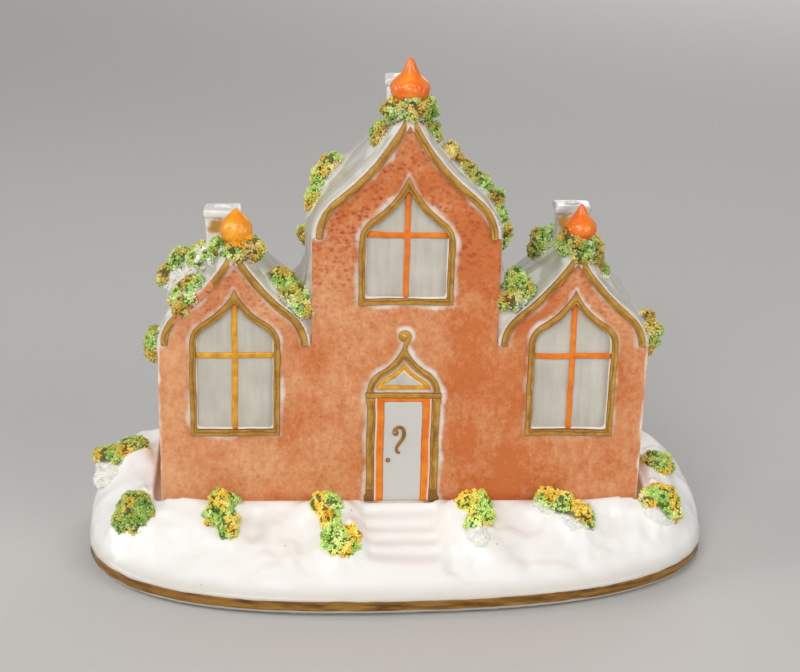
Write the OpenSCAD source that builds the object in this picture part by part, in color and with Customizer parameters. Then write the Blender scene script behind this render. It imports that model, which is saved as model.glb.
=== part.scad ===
// Gothic cottage pastille burner in glazed china. A hollow house with three ogee
// gables stands loose in a recess of a mound base, over a cone of scented charcoal.
// Millimetres, +Z up. The origin is under the middle of the base, on the table.

/* [Base] */
// Width of the base outline
base_w = 158; // [150:1:180]
// Depth of the base outline
base_d = 87; // [82:1:100]
// Squareness of the outline, where 2 is an ellipse
base_square = 2.6; // [2.3:0.1:3.2]
// Turn of the outline and the steps against the house front, in degrees
base_turn = 2.5; // [0:0.5:4]
// Height of the upright rim
rim_h = 5.7; // [4.5:0.1:7]
// Ledge between the rim and the ground above it
rim_ledge = 0.4; // [0.3:0.1:1]
// Height of the level ground round the house
mound_h = 18.5; // [17:0.5:22]
// How full the ground swells, where 1 is a straight slope
mound_swell = 1.3; // [1.1:0.1:2]
// Rise of the banks at the rear corners over the level ground
bank_h = 4.5; // [3:0.5:6]
// How full the ground swells at the sides and the back
bank_swell = 3.5; // [2.5:0.1:4]
// Width of the foot ring that the base stands on
foot_w = 6; // [5:0.5:8]
// Lean of the hollow's wall, from its mouth to its top
hollow_lean = 7; // [5:0.5:10]
// Thickness of the clay between the hollow and the house
floor_t = 7; // [6:0.5:8]
// Depth of the recess that the house stands in
recess_depth = 3; // [2:0.5:4]
// Gap round the house in its recess
seat_gap = 1.2; // [1:0.1:1.8]
// Width of the level lip round the recess
lip_w = 2; // [1:0.5:3]

/* [Steps] */
// Width of the steps
step_w = 18.6; // [14:0.2:22]
// Depth of one tread
step_tread = 4; // [3.5:0.1:4.5]
// Height of one riser
step_rise = 1.7; // [1.2:0.1:1.9]
// Number of risers
step_count = 4; // [2:1:4]
// Drop of the landing below the ground
landing_drop = 0.8; // [0.5:0.1:1.2]
// Depth of the landing in front of the recess
landing_d = 1.5; // [1:0.1:2.5]
// Offset of the steps from the middle of the house
step_x = -0.8; // [-2:0.2:2]

/* [Pastille] */
// Radius of the cone's foot
pastille_r = 5; // [4:0.1:6]
// Radius of the cone's blunt tip
pastille_tip_r = 1.2; // [0.8:0.1:2]
// Height of the cone
pastille_h = 15; // [10:0.5:18]
// Radius of the dish in the base
dish_r = 9; // [7.5:0.5:11]
// Depth of the dish
dish_depth = 1.2; // [0.8:0.1:2]

/* [House] */
// Width of the house
house_w = 119; // [112:1:122]
// Depth of the house
house_d = 32; // [30:1:36]
// Distance of the house's middle behind the middle of the base
house_set = 0; // [-2:0.5:3]
// Thickness of the walls
wall_t = 2.5; // [2:0.1:3]
// Width of the tall middle block
main_w = 45; // [42:0.5:48]
// Height of the wings' walls
wing_eave_h = 44; // [42:0.5:48]
// Height of the middle block's walls
main_eave_h = 71; // [69:0.5:75]
// How far a cheek wall reaches below the wings' eaves
cheek_drop = 3; // [2:0.5:5]
// Width of the draught arch in the back wall
draught_w = 24; // [16:1:30]
// Height of the draught arch at its sides
draught_h = 16; // [10:1:22]

/* [Roofs] */
// Thickness of the roofs
roof_t = 1.5; // [1.2:0.1:2]
// Thickness of the roofs at the ridge
ridge_t = 2; // [1.5:0.1:2.4]
// Rise of the middle gable
main_rise = 30; // [28:0.5:34]
// Shoulder radius of the middle gable
main_shoulder = 12; // [10:0.5:14]
// Half angle at the point of the middle gable, in degrees
main_peak = 26; // [24:1:30]
// Rise of the wing gables
wing_rise = 23.4; // [21:0.2:26]
// Shoulder radius of the wing gables
wing_shoulder = 10.2; // [8:0.2:12]
// Half angle at the point of the wing gables, in degrees
wing_peak = 30; // [27:1:34]
// Width of a bargeboard
barge_w = 1.7; // [1.2:0.1:2.4]
// How far a bargeboard laps over the edge of its roof
barge_lap = 0.6; // [0.3:0.1:1]
// How far a bargeboard stands out from the wall
barge_proud = 0.9; // [0.5:0.1:1]

/* [Chimneys] */
// Width of a chimney
chimney_w = 8; // [7:0.1:9]
// Depth of a chimney
chimney_d = 6; // [5:0.1:7]
// How far a chimney's rim stands out
chimney_lip = 0.5; // [0.3:0.1:1]
// Height of a chimney's rim
chimney_lip_h = 1.8; // [1:0.1:2.5]
// Radius of the flues
flue_r = 1.6; // [1.2:0.1:2]
// Height of the middle chimney over its ridge
main_chimney_h = 5; // [4:0.2:8]
// Height of the left chimney over its ridge
left_chimney_h = 5.4; // [4:0.2:9]
// Height of the right chimney over its ridge
right_chimney_h = 7; // [4:0.2:9]
// Distance of a chimney's middle behind the house front
chimney_set = 14; // [12:0.5:20]
// Offset of the middle chimney from its ridge
main_chimney_x = -1; // [-2:0.2:2]
// Offset of the left chimney from its ridge
left_chimney_x = -3; // [-4:0.2:2]
// Offset of the right chimney from its ridge
right_chimney_x = 0; // [-2:0.2:2]

/* [Finials] */
// Greatest radius of the middle finial
main_finial_r = 4.6; // [4:0.1:5]
// Height of the middle finial over its ridge
main_finial_h = 11.5; // [10:0.5:14]
// Greatest radius of the wing finials
wing_finial_r = 4; // [3.5:0.1:4.6]
// Height of the left finial over its ridge
left_finial_h = 8.2; // [7.6:0.2:10]
// Height of the right finial over its ridge
right_finial_h = 9.6; // [8:0.2:11]
// Offset of the wing finials from their ridges
wing_finial_x = 0.6; // [-1:0.2:1]
// Distance of a finial's middle behind the house front
finial_set = 3.4; // [3:0.1:4]
// Half angle at a finial's tip, in degrees
finial_tip = 14; // [10:1:18]

/* [Windows] */
// Width of a wing window over its frame
wing_window_w = 21.8; // [18:0.2:24]
// Height of a wing window's sill over the house's foot
wing_sill_h = 20.5; // [17:0.5:24]
// Height of a wing window's springing over the house's foot
wing_spring_h = 44.5; // [42:0.5:46]
// Rise of a wing window's point
wing_point = 14; // [12:0.5:15]
// Height of a wing window's cross bar over the house's foot
wing_bar_h = 41.3; // [36:0.5:44]
// Width of the middle window over its frame
main_window_w = 22.8; // [19:0.2:25]
// Height of the middle window's sill over the house's foot
main_sill_h = 54.6; // [52:0.2:58]
// Height of the middle window's springing over the house's foot
main_spring_h = 70.5; // [68:0.5:73]
// Rise of the middle window's point
main_point = 16; // [13:0.5:18]
// Height of the middle window's cross bar over the house's foot
main_bar_h = 71.9; // [68:0.5:74]
// Shoulder radius of the windows
window_shoulder = 6; // [5:0.1:7]
// Half angle at the point of the windows, in degrees
window_peak = 24; // [20:1:28]
// Width of the window frames
frame_w = 1.6; // [1:0.1:2]
// How far the window frames stand out from the wall
frame_proud = 0.8; // [0.4:0.1:1]
// Depth of the panes behind the wall's face
pane_set = 0.6; // [0.5:0.1:0.8]
// Thickness of the panes
pane_t = 0.6; // [0.4:0.1:0.8]
// Width of the glazing bars
bar_w = 1.1; // [0.8:0.1:1.6]
// Thickness of the glazing bars
bar_t = 0.5; // [0.3:0.1:0.5]

/* [Door] */
// Width of the door leaf
leaf_w = 9.4; // [8:0.2:11]
// Height of the door's foot over the house's foot
door_foot = 2.6; // [2.4:0.1:3.5]
// Height of the leaf's top over the house's foot
leaf_top = 29.4; // [26:0.2:30]
// How far the leaf stands out from the wall
leaf_proud = 0.4; // [0.3:0.1:0.6]
// Width of the architrave round the leaf
architrave_w = 2.2; // [1.5:0.1:2.6]
// How far the architrave stands out from the wall
architrave_proud = 0.6; // [0.5:0.1:0.8]
// Width of a door column
column_w = 2; // [1.5:0.1:2.4]
// How far the columns, the cornice and the hood stand out from the wall
column_proud = 0.9; // [0.6:0.1:0.9]
// How far a column's capital and base stand out beyond its outer side
capital_out = 0.4; // [0.2:0.1:0.6]
// Height of a column's capital and of its base
capital_h = 1.4; // [1:0.1:2]
// Height of the cornice over the columns
cornice_h = 1.3; // [1:0.1:1.8]
// Rise of the hood
hood_rise = 13.4; // [12.5:0.1:15]
// Shoulder radius of the hood
hood_shoulder = 6.3; // [5.8:0.1:7]
// Half angle at the point of the hood, in degrees
hood_peak = 12; // [11:1:15]
// Width of the hood's band
hood_w = 1.6; // [1.2:0.1:2]
// Radius of the knob on the hood
knob_r = 1.5; // [1.2:0.1:1.8]
// Margin of bare wall between the hood and the fanlight
fan_margin = 0.7; // [0.5:0.1:1]
// Height of the fanlight's foot over the cornice
fan_foot = 0.8; // [0.4:0.1:1.2]
// Width of the fanlight's frame
fan_frame_w = 1; // [0.7:0.1:1.2]
// How far the fanlight's frame stands out from the wall
fan_proud = 0.5; // [0.4:0.1:0.7]
// How far the fanlight's pane stands out from the wall
fan_pane_proud = 0.3; // [0.2:0.1:0.4]
// Height of the middle of the handle's upper curl over the house's foot
handle_h = 20.4; // [17:0.2:23]
// Radius of the handle's upper curl
curl_r = 1.3; // [1:0.1:1.6]
// Turn of the upper curl, in degrees
curl_turn = 250; // [200:5:280]
// Radius of the curl at the handle's foot
foot_curl_r = 0.6; // [0.5:0.1:1]
// Turn of the curl at the foot, in degrees
foot_turn = 200; // [120:5:240]
// Length of the straight stem between the curls
stem_h = 2.6; // [1:0.1:4]
// Lean of the stem from the upright, in degrees
stem_lean = 50; // [30:5:60]
// Width of the handle's stroke
stroke_w = 0.7; // [0.6:0.1:0.9]
// Radius of the keyhole stud
stud_r = 0.5; // [0.4:0.1:0.8]
// Height of the stud below the middle of the upper curl
stud_drop = 6.4; // [5:0.2:8]
// Distance of the stud to the left of the leaf's middle
stud_x = 3.3; // [2.5:0.1:3.6]
// How far the handle and the stud stand out from the leaf
handle_proud = 0.5; // [0.3:0.1:0.5]

/* [Moss] */
// Size of a usual moss tuft
moss_tuft = 7; // [6:0.5:8]
// Depth of the lumps in the moss, as a share of a tuft's size
moss_lump = 0.13; // [0.05:0.01:0.2]

/* [Hidden] */
$fn = 64;
eps = 0.01;
arc_steps = 10;

// Levels and places that several pieces share
seat_z = mound_h - recess_depth;
house_front = house_set - house_d/2;
house_back = house_set + house_d/2;
wing_eave = seat_z + wing_eave_h;
main_eave = seat_z + main_eave_h;
wing_w = (house_w - main_w)/2;
wing_x = (main_w + wing_w)/2;
door_w = leaf_w + 2*(architrave_w + column_w);
architrave_top = seat_z + leaf_top + architrave_w/2;
hood_spring = architrave_top + cornice_h;
landing_z = mound_h - landing_drop;

// An arch is its half width, rise, shoulder radius and half angle at the point
main_gable = [main_w/2 - roof_t, main_rise, main_shoulder, main_peak];
wing_gable = [wing_w/2 - roof_t, wing_rise, wing_shoulder, wing_peak];
main_light = [main_window_w/2, main_point, window_shoulder, window_peak];
wing_light = [wing_window_w/2, wing_point, window_shoulder, window_peak];
hood_arch = [door_w/2, hood_rise, hood_shoulder, hood_peak];
main_ridge = main_eave + main_rise + ridge_t;
wing_ridge = wing_eave + wing_rise + ridge_t;

// Rings of the ground: bearings round the base, and shares of the way up the slope
bearings = [0:5:355];
climbs = [0:0.125:1];
lip_square = 6;

// How far round to the back the ground is full, and where its banks stand, as sines of the bearing
full_from = [-0.3, 0.15];
bank_until = [0.6, 0.9];

// Clumps of base moss: the bearing and the share of the way up the slope where a clump lies, and its
// tufts. A tuft is, in usual tufts, its place from there, its width, its depth and its height
moss_left_rear = [176, 0.65, [[0, 0, 0, 1.4, 1.3, 0.6], [-0.8, 0.5, -0.65, 1.5, 1.3, 0.7]]];
moss_left_corner = [195, 0.53, [[0, 0, 0, 1.7, 1.7, 1.1]]];
moss_left_window = [204.5, 0.89, [[0, 0, 0, 1.2, 0.9, 0.8], [0.25, -0.7, -0.35, 1, 1.3, 0.7]]];
moss_left_steps = [229, 0.9, [
    [0, 0, 0, 1.3, 1, 0.8], [0.15, -0.65, -0.25, 0.9, 1.2, 0.6], [0.5, -1.35, -0.6, 1.6, 1.4, 0.8]
]];
moss_right_steps = [308, 0.86, [[0, 0, 0, 1.6, 1, 0.9], [0, -0.75, -0.35, 0.9, 1.4, 0.6]]];
moss_right_window = [331, 0.9, [[0, 0, 0, 1.4, 1, 0.8], [0.9, -0.4, -0.3, 1.4, 1.2, 0.8]]];
moss_right_corner = [346, 0.65, [[0, 0, 0, 1.8, 1.6, 0.9]]];
moss_right_rear = [358, 0.74, [[0, 0, 0, 1.4, 1.2, 0.6]]];

// Clumps of roof moss. A tuft is its offset from the ridge as a share of half the roof's width, its
// distance behind the front as a share of the house's depth, and in usual tufts its width, depth and
// height, and for some how far they are heaped up from the roof at that place
main_collar = [[-0.28, 0.28, 0.9, 1, 0.55], [0.26, 0.26, 0.8, 0.8, 0.5]];
main_left_run = [[-0.76, 0.78, 1.2, 1.2, 0.5], [-0.84, 0.62, 1.2, 1.2, 0.5], [-0.95, 0.42, 0.9, 1, 0.5]];
main_right_upper = [[0.45, 0.36, 0.9, 0.9, 0.5], [0.61, 0.3, 0.9, 0.9, 0.5], [0.77, 0.27, 0.9, 0.9, 0.5]];
main_right_lower = [[0.92, 0.24, 0.9, 0.9, 0.6], [1, 0.22, 0.9, 0.9, 0.9]];
left_collar = [[-0.46, 0.64, 1.1, 1.1, 0.6, 0.15], [-0.3, 0.45, 1, 1.2, 0.5]];
left_collar_end = [[-0.74, 0.88, 1.1, 1.1, 0.6, 0.3], [-0.93, 0.92, 1, 1.1, 0.6, 0.3]];
left_slope = [[-0.55, 0.08, 1.2, 0.9, 0.6], [-0.68, 0.12, 0.9, 0.9, 0.6]];
left_valley = [[0.6, 0.24, 1.2, 1.1, 0.7, 0.15], [0.78, 0.25, 1.2, 1.1, 0.75]];
right_collar = [[0.31, 0.26, 0.7, 0.9, 0.5, 0.15], [0.42, 0.3, 0.6, 0.9, 0.45]];
right_ridge = [[-0.3, 0.66, 1.2, 1.1, 0.7, 0.1], [-0.15, 0.58, 1, 0.9, 0.55]];
right_valley = [[-0.76, 0.34, 1.2, 1.2, 0.8, 0.1], [-0.6, 0.32, 0.9, 1, 0.6, 0.1]];

// Tufts on the sides of the house. Each is its distance behind the front as a share of the house's
// depth, and in usual tufts its drop below the eave, its width, its depth and its height
cheek_tuft = [0.85, 1.05, 1.1, 1, 0.4];
left_eave_tuft = [0.16, 0.25, 1.1, 1.2, 0.7];
right_eave_tuft = [0.25, -0.1, 1.4, 1.4, 0.85];

// The ring of moss round a finial's foot, placed by the finial's own radius
collar_spread = 0.87;
function finial_ring(gable, r, off = 0) =
    let (
        half = gable[0] + roof_t,
        set = finial_set/house_d,
        beside = [1, 1, 0.5, 0.55],
        before = [0, 1.3, 0.7, 0.45, -0.5]
    )
    [
        concat([(off - collar_spread*r)/half, set], beside),
        concat([(off + collar_spread*r)/half, set], beside),
        concat([off/half], before)
    ];

// Lists of points
function tail(list) = [for (i = [1:len(list) - 1]) list[i]];
function turned_back(list) = [for (i = [len(list) - 1:-1:0]) list[i]];
function moved(points, by) = [for (p = points) p + by];
function mirrored(points) = [for (p = points) [-p.x, p.y]];
function both_sides(points) = concat(points, tail(turned_back(mirrored(points))));
function arc(centre, r, from, to) =
    [for (i = [0:arc_steps]) let (a = from + (to - from)*i/arc_steps) centre + r*[cos(a), sin(a)]];

// An ogee is a convex shoulder arc that runs on into a hollow arc up to the point
function low_centre(arch) = [arch[0] - arch[2], 0];
function high_r(arch) =
    let (d = [0, arch[1]] - low_centre(arch))
    (d*d - arch[2]*arch[2])/(2*(arch[2] - d*[cos(arch[3]), sin(arch[3])]));
function high_centre(arch) = [0, arch[1]] + high_r(arch)*[cos(arch[3]), sin(arch[3])];
function join_angle(arch) =
    let (v = high_centre(arch) - low_centre(arch))
    atan2(v.y, v.x);

// The right half of an ogee, moved outwards by grow, from its springing to its point
function half_ogee(arch, grow = 0) =
    let (high = high_centre(arch), r = high_r(arch) - grow, a = join_angle(arch))
    concat(
        arc(low_centre(arch), arch[2] + grow, 0, a),
        tail(arc(high, r, a + 180, 180 + acos(high.x/r)))
    );
function ogee(arch, grow = 0) = both_sides(half_ogee(arch, grow));

// Height of an ogee over a place x beside its middle
function ogee_z(arch, grow, x) =
    let (low = low_centre(arch), high = high_centre(arch), r = arch[2] + grow)
    abs(x) >= low.x + r*cos(join_angle(arch))
        ? sqrt(max(0, r*r - pow(abs(x) - low.x, 2)))
        : high.y - sqrt(pow(high_r(arch) - grow, 2) - pow(abs(x) - high.x, 2));

// Outline of a window light, moved outwards by grow
function light(arch, sill, spring, grow = 0) =
    concat(
        [[-arch[0] - grow, sill - grow], [arch[0] + grow, sill - grow]],
        moved(ogee(arch, grow), [0, spring])
    );

// Outline of the gabled front and back walls
function gabled_wall() =
    both_sides(concat(
        [[house_w/2, seat_z], [house_w/2, wing_eave]],
        moved(ogee(wing_gable), [wing_x, wing_eave]),
        [[main_w/2, wing_eave], [main_w/2, main_eave]],
        moved(half_ogee(main_gable), [0, main_eave])
    ));

// Radius of a squared oval at a bearing
function oval(half_x, half_y, square, b) =
    pow(pow(abs(cos(b))/half_x, square) + pow(abs(sin(b))/half_y, square), -1/square);
function rim_at(b, inset = 0) =
    oval(base_w/2 - inset, base_d/2 - inset, base_square, b - base_turn)*[cos(b), sin(b)];
function lip_at(b) =
    let (margin = seat_gap + lip_w)
    [0, house_set] + oval(house_w/2 + margin, house_d/2 + margin, lip_square, b)*[cos(b), sin(b)];
function smooth_step(x, ends) =
    let (t = min(1, max(0, (x - ends[0])/(ends[1] - ends[0]))))
    t*t*(3 - 2*t);
function rear_share(b) = smooth_step(sin(b), full_from);
function ground_top(b) = mound_h + bank_h*(rear_share(b) - smooth_step(sin(b), bank_until));
function ground_swell(b) = mound_swell + (bank_swell - mound_swell)*rear_share(b);
// A place on the ground: u runs from the rim, 0, to the lip round the house, 1
function ground_at(b, u) =
    let (p = rim_at(b, rim_ledge)*(1 - u) + lip_at(b)*u)
    [p.x, p.y, rim_h + (ground_top(b) - rim_h)*(1 - pow(1 - u, ground_swell(b)))];
function level_ring(inset, z) = [for (b = bearings) let (p = rim_at(b, inset)) [p.x, p.y, z]];

// Solid through a stack of rings of equal counts, with flat ends
module loft(rings) {
    n = len(rings[0]);
    sides = [
        for (i = [0:len(rings) - 2], j = [0:n - 1])
            let (a = i*n + j, b = i*n + (j + 1)%n)
            each [[a, a + n, b + n], [a, b + n, b]]
    ];
    last = (len(rings) - 1)*n;
    polyhedron(
        points = [for (ring = rings) each ring],
        faces = concat([[for (j = [0:n - 1]) j]], sides, [[for (j = [n - 1:-1:0]) last + j]])
    );
}

// Plate with the outline of its child, drawn as width and height, from y towards the back
module upright(y, t) {
    translate([0, y + t, 0])
        rotate([90, 0, 0])
            linear_extrude(t)
                children();
}

// Plate on the front wall, standing out from it
module applied(proud, x = 0) {
    translate([x, 0, 0])
        upright(house_front - proud, proud)
            children();
}

// The ground as one solid, before anything is cut into it
module ground() {
    linear_extrude(rim_h)
        polygon([for (b = bearings) rim_at(b)]);
    loft(concat(
        [level_ring(rim_ledge, rim_h/2)],
        [for (u = climbs) [for (b = bearings) ground_at(b, u)]]
    ));
}

// Space that the landing and the steps are cut from
module step_space() {
    edge = house_front - seat_gap - landing_d;
    translate([-step_w/2, edge, landing_z])
        cube([step_w, house_d/2, mound_h]);
    for (i = [1:step_count])
        translate([-step_w/2, edge - i*step_tread, landing_z - i*step_rise])
            cube([step_w, step_tread + eps, mound_h]);
}

// Space that the house is lifted out of, with its gap all round
module house_space() {
    translate([-house_w/2 - seat_gap, house_front - seat_gap, seat_z])
        cube([house_w + 2*seat_gap, house_d + 2*seat_gap, main_ridge]);
}

module base() {
    color("ghostwhite")
    difference() {
        ground();
        loft([level_ring(foot_w, -eps), level_ring(foot_w + hollow_lean, seat_z - floor_t)]);
        house_space();
        translate([0, house_set, seat_z - dish_depth])
            cylinder(r = dish_r, h = mound_h);
        translate([step_x, house_front, 0])
            rotate(base_turn)
                translate([0, -house_front, 0])
                    step_space();
    }
}

module pastille() {
    color("dimgray")
    translate([0, house_set, seat_z - dish_depth])
        cylinder(r1 = pastille_r, r2 = pastille_tip_r, h = pastille_h);
}

// Shell of the house
module front_wall() {
    pocket = pane_set + pane_t;
    color("darksalmon")
    difference() {
        upright(house_front, wall_t)
            polygon(gabled_wall());
        upright(house_front - eps, pocket + eps)
            polygon(main_glass());
        for (side = [-1, 1])
            translate([side*wing_x, 0, 0])
                upright(house_front - eps, pocket + eps)
                    polygon(wing_glass());
    }
}

module back_wall() {
    color("ghostwhite")
    difference() {
        upright(house_back - wall_t, wall_t)
            polygon(gabled_wall());
        translate([-draught_w/2, house_back - wall_t - eps, seat_z - eps])
            cube([draught_w, wall_t + 2*eps, draught_h + eps]);
        translate([0, house_back + eps, seat_z + draught_h])
            rotate([90, 0, 0])
                cylinder(r = draught_w/2, h = wall_t + 2*eps);
    }
}

module side_wall(side) {
    color("darksalmon")
    translate([side > 0 ? house_w/2 - wall_t : -house_w/2, house_front + wall_t, seat_z])
        cube([wall_t, house_d - 2*wall_t, wing_eave_h]);
}

module cheek(side) {
    foot = wing_eave - cheek_drop;
    color("gainsboro")
    translate([side > 0 ? main_w/2 - wall_t : -main_w/2, house_front + wall_t, foot])
        cube([wall_t, house_d - 2*wall_t, main_eave - foot]);
}

// Ogee vault, open below, with a flat ridge and a hole under its chimney
module roof(gable, x, eave, flue_x) {
    ridge = eave + gable[1] + ridge_t;
    color("silver")
    difference() {
        translate([x, 0, eave])
            upright(house_front, house_d)
                polygon(concat(ogee(gable, roof_t), turned_back(ogee(gable))));
        translate([x - house_w/2, house_front - eps, ridge])
            cube([house_w, house_d + 2*eps, gable[1]]);
        translate([x + flue_x, house_front + chimney_set, eave])
            cylinder(r = flue_r, h = 2*gable[1]);
    }
}

// The same vault filled solid, for what sits on it
module roof_block(gable, x, eave) {
    intersection() {
        translate([x, 0, eave])
            upright(house_front - barge_proud, house_d + barge_proud)
                polygon(ogee(gable, roof_t));
        translate([x - house_w/2, house_front - house_d, eave])
            cube([house_w, 3*house_d, gable[1] + ridge_t]);
    }
}

// The whole house filled solid, for the moss that lies on it
module house_block() {
    depth = house_d + barge_proud;
    roof_block(main_gable, 0, main_eave);
    for (side = [-1, 1])
        roof_block(wing_gable, side*wing_x, wing_eave);
    translate([-house_w/2, house_front - barge_proud, seat_z])
        cube([house_w, depth, wing_eave_h]);
    translate([-main_w/2, house_front - barge_proud, seat_z])
        cube([main_w, depth, main_eave_h]);
}

module chimney_block(x, h, eave, ridge) {
    translate([x - chimney_w/2, house_front + chimney_set - chimney_d/2, eave])
        cube([chimney_w, chimney_d, ridge + h - eave]);
    rim_w = chimney_w + 2*chimney_lip;
    rim_d = chimney_d + 2*chimney_lip;
    translate([x - rim_w/2, house_front + chimney_set - rim_d/2, ridge + h - chimney_lip_h])
        cube([rim_w, rim_d, chimney_lip_h]);
}

module chimney(gable, x, flue_x, h, eave) {
    ridge = eave + gable[1] + ridge_t;
    color("white")
    difference() {
        chimney_block(x + flue_x, h, eave, ridge);
        roof_block(gable, x, eave);
        translate([x + flue_x, house_front + chimney_set, eave])
            cylinder(r = flue_r, h = ridge + h - eave + eps);
    }
}

// Onion knop: a round belly below, an ogee above, on a short stem
module finial_block(x, ridge, r, h) {
    belly_r = 0.7*r;
    foot_angle = -70;
    belly_z = -belly_r*sin(foot_angle);
    belly = arc([r - belly_r, belly_z], belly_r, foot_angle, 0);
    crown = moved(half_ogee([r, h - belly_z, belly_r, finial_tip]), [0, belly_z]);
    stem = 2*r;
    translate([x, house_front + finial_set, ridge])
        rotate_extrude()
            polygon(concat([[0, -stem], [belly[0].x, -stem]], belly, tail(crown)));
}

module finial(gable, x, off, eave, r, h, tint) {
    color(tint)
    difference() {
        finial_block(x + off, eave + gable[1] + ridge_t, r, h);
        roof_block(gable, x, eave);
    }
}

// Trim on the front
module bargeboard(gable, x, eave) {
    color("darkgoldenrod")
    applied(barge_proud, x)
        polygon(moved(
            concat(ogee(gable, barge_lap), turned_back(ogee(gable, barge_lap - barge_w))),
            [0, eave]
        ));
}

function main_glass(grow = -frame_w) =
    light(main_light, seat_z + main_sill_h, seat_z + main_spring_h, grow);
function wing_glass(grow = -frame_w) =
    light(wing_light, seat_z + wing_sill_h, seat_z + wing_spring_h, grow);

module window_frame(x, outer, inner) {
    color("darkgoldenrod")
    applied(frame_proud, x)
        difference() {
            polygon(outer);
            polygon(inner);
        }
}

module window_pane(x, outline) {
    color("lightgray")
    translate([x, 0, 0])
        upright(house_front + pane_set, pane_t)
            polygon(outline);
}

module glazing_bars(x, outline, bar_z, tint) {
    reach = 2*house_w;
    color(tint)
    translate([x, 0, 0])
        upright(house_front + pane_set - bar_t, bar_t)
            intersection() {
                polygon(outline);
                union() {
                    square([bar_w, reach], center = true);
                    translate([0, bar_z])
                        square([reach, bar_w], center = true);
                }
            }
}

module door_leaf() {
    color("white")
    applied(leaf_proud)
        translate([-leaf_w/2, seat_z + door_foot])
            square([leaf_w, leaf_top - door_foot]);
}

module door_architrave() {
    color("orangered")
    applied(architrave_proud)
        difference() {
            translate([-leaf_w/2 - architrave_w, seat_z + door_foot])
                square([leaf_w + 2*architrave_w, architrave_top - seat_z - door_foot]);
            translate([-leaf_w/2, seat_z])
                square([leaf_w, leaf_top]);
        }
}

module door_columns() {
    foot = seat_z + door_foot;
    color("darkgoldenrod")
    applied(column_proud)
        for (side = [0, 1])
            mirror([side, 0])
                translate([door_w/2 - column_w, 0]) {
                    translate([0, foot])
                        square([column_w, architrave_top - foot]);
                    translate([0, foot])
                        square([column_w + capital_out, capital_h]);
                    translate([0, architrave_top - capital_h])
                        square([column_w + capital_out, capital_h]);
                }
}

module door_cornice() {
    color("darkgoldenrod")
    applied(column_proud)
        translate([-door_w/2 - capital_out, architrave_top])
            square([door_w + 2*capital_out, cornice_h]);
}

module door_hood() {
    color("darkgoldenrod")
    applied(column_proud)
        polygon(moved(concat(ogee(hood_arch), turned_back(ogee(hood_arch, -hood_w))), [0, hood_spring]));
}

// Ball half sunk into the wall, turned about its own front-to-back axis
module door_hood_knob() {
    sunk = column_proud/2;
    color("darkgoldenrod")
    translate([0, house_front, hood_spring + hood_rise + knob_r])
        rotate([90, 0, 0])
            rotate_extrude()
                polygon(concat([[0, 0]], arc([0, sunk], knob_r, -asin(sunk/knob_r), 90)));
}

// The fanlight follows the inside of the hood, with its foot level above the cornice
module fanlight(grow) {
    intersection() {
        polygon(moved(ogee(hood_arch, -hood_w - fan_margin - grow), [0, hood_spring]));
        translate([-door_w/2, hood_spring + fan_foot + grow])
            square([door_w, hood_rise]);
    }
}

module fanlight_frame() {
    color("orange")
    applied(fan_proud)
        difference() {
            fanlight(0);
            fanlight(fan_frame_w);
        }
}

module fanlight_pane() {
    color("lightgray")
    applied(fan_pane_proud)
        fanlight(fan_frame_w);
}

// Stroke of even width along an arc, from an angle and on by a turn
function stroke(centre, r, from, turn) =
    concat(
        arc(centre, r + stroke_w/2, from, from + turn),
        turned_back(arc(centre, r - stroke_w/2, from, from + turn))
    );

// Scroll: a curl at the top, a leaning stem, and a small curl the other way at the foot
module door_handle() {
    top = [0, seat_z + handle_h];
    out = [cos(stem_lean), -sin(stem_lean)];
    along = [-sin(stem_lean), -cos(stem_lean)];
    start = top + curl_r*out;
    finish = start + stem_h*along;
    half = out*stroke_w/2;
    color("saddlebrown")
    translate([0, -leaf_proud, 0])
        applied(handle_proud) {
            polygon(stroke(top, curl_r, -stem_lean, curl_turn));
            polygon([start + half, start - half, finish - half, finish + half]);
            polygon(stroke(finish + foot_curl_r*out, foot_curl_r, 180 - stem_lean, foot_turn));
            translate(top - [stud_x, stud_drop])
                circle(r = stud_r);
        }
}

// One tuft of clay moss: a lumpy ball of the given width, depth and height
module tuft(place, size) {
    rows = 6;
    cols = 11;
    lumps = 4;
    rings = [
        for (i = [1:rows - 1], j = [0:cols - 1])
            let (
                lat = 180*i/rows,
                lon = 360*j/cols,
                r = 1 + moss_lump*sin(lumps*lon + 7*place.x)*cos(lumps*lat + 11*place.y)
            )
            r*[sin(lat)*cos(lon)/2, sin(lat)*sin(lon)/2, cos(lat)]
    ];
    foot = len(rings) + 1;
    bands = [
        for (i = [0:rows - 3], j = [0:cols - 1])
            let (a = 1 + i*cols + j, b = 1 + i*cols + (j + 1)%cols)
            each [[a, b, b + cols], [a, b + cols, a + cols]]
    ];
    last = foot - cols;
    caps = [
        for (j = [0:cols - 1])
            let (k = (j + 1)%cols)
            each [[0, 1 + k, 1 + j], [foot, last + j, last + k]]
    ];
    sized = [for (p = concat([[0, 0, 1]], rings, [[0, 0, -1]])) [p.x*size.x, p.y*size.y, p.z*size.z]];
    translate(place)
        polyhedron(points = sized, faces = concat(bands, caps));
}

module base_moss(clump) {
    place = ground_at(clump[0], clump[1]);
    color("yellowgreen")
    difference() {
        for (t = clump[2])
            tuft(place + moss_tuft*[t[0], t[1], t[2]], moss_tuft*[t[3], t[4], t[5]]);
        ground();
        house_space();
    }
}

// Moss on a roof, cut away where its children stand
module roof_moss(gable, x, eave, tufts) {
    color("yellowgreen")
    difference() {
        for (t = tufts)
            let (
                off = t[0]*(gable[0] + roof_t),
                heaped = len(t) > 5 ? t[5]*moss_tuft : 0,
                place = [x + off, house_front + t[1]*house_d, eave + ogee_z(gable, roof_t, off) + heaped]
            )
            tuft(place, moss_tuft*[t[2], t[3], t[4]]);
        house_block();
        children();
    }
}

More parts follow.
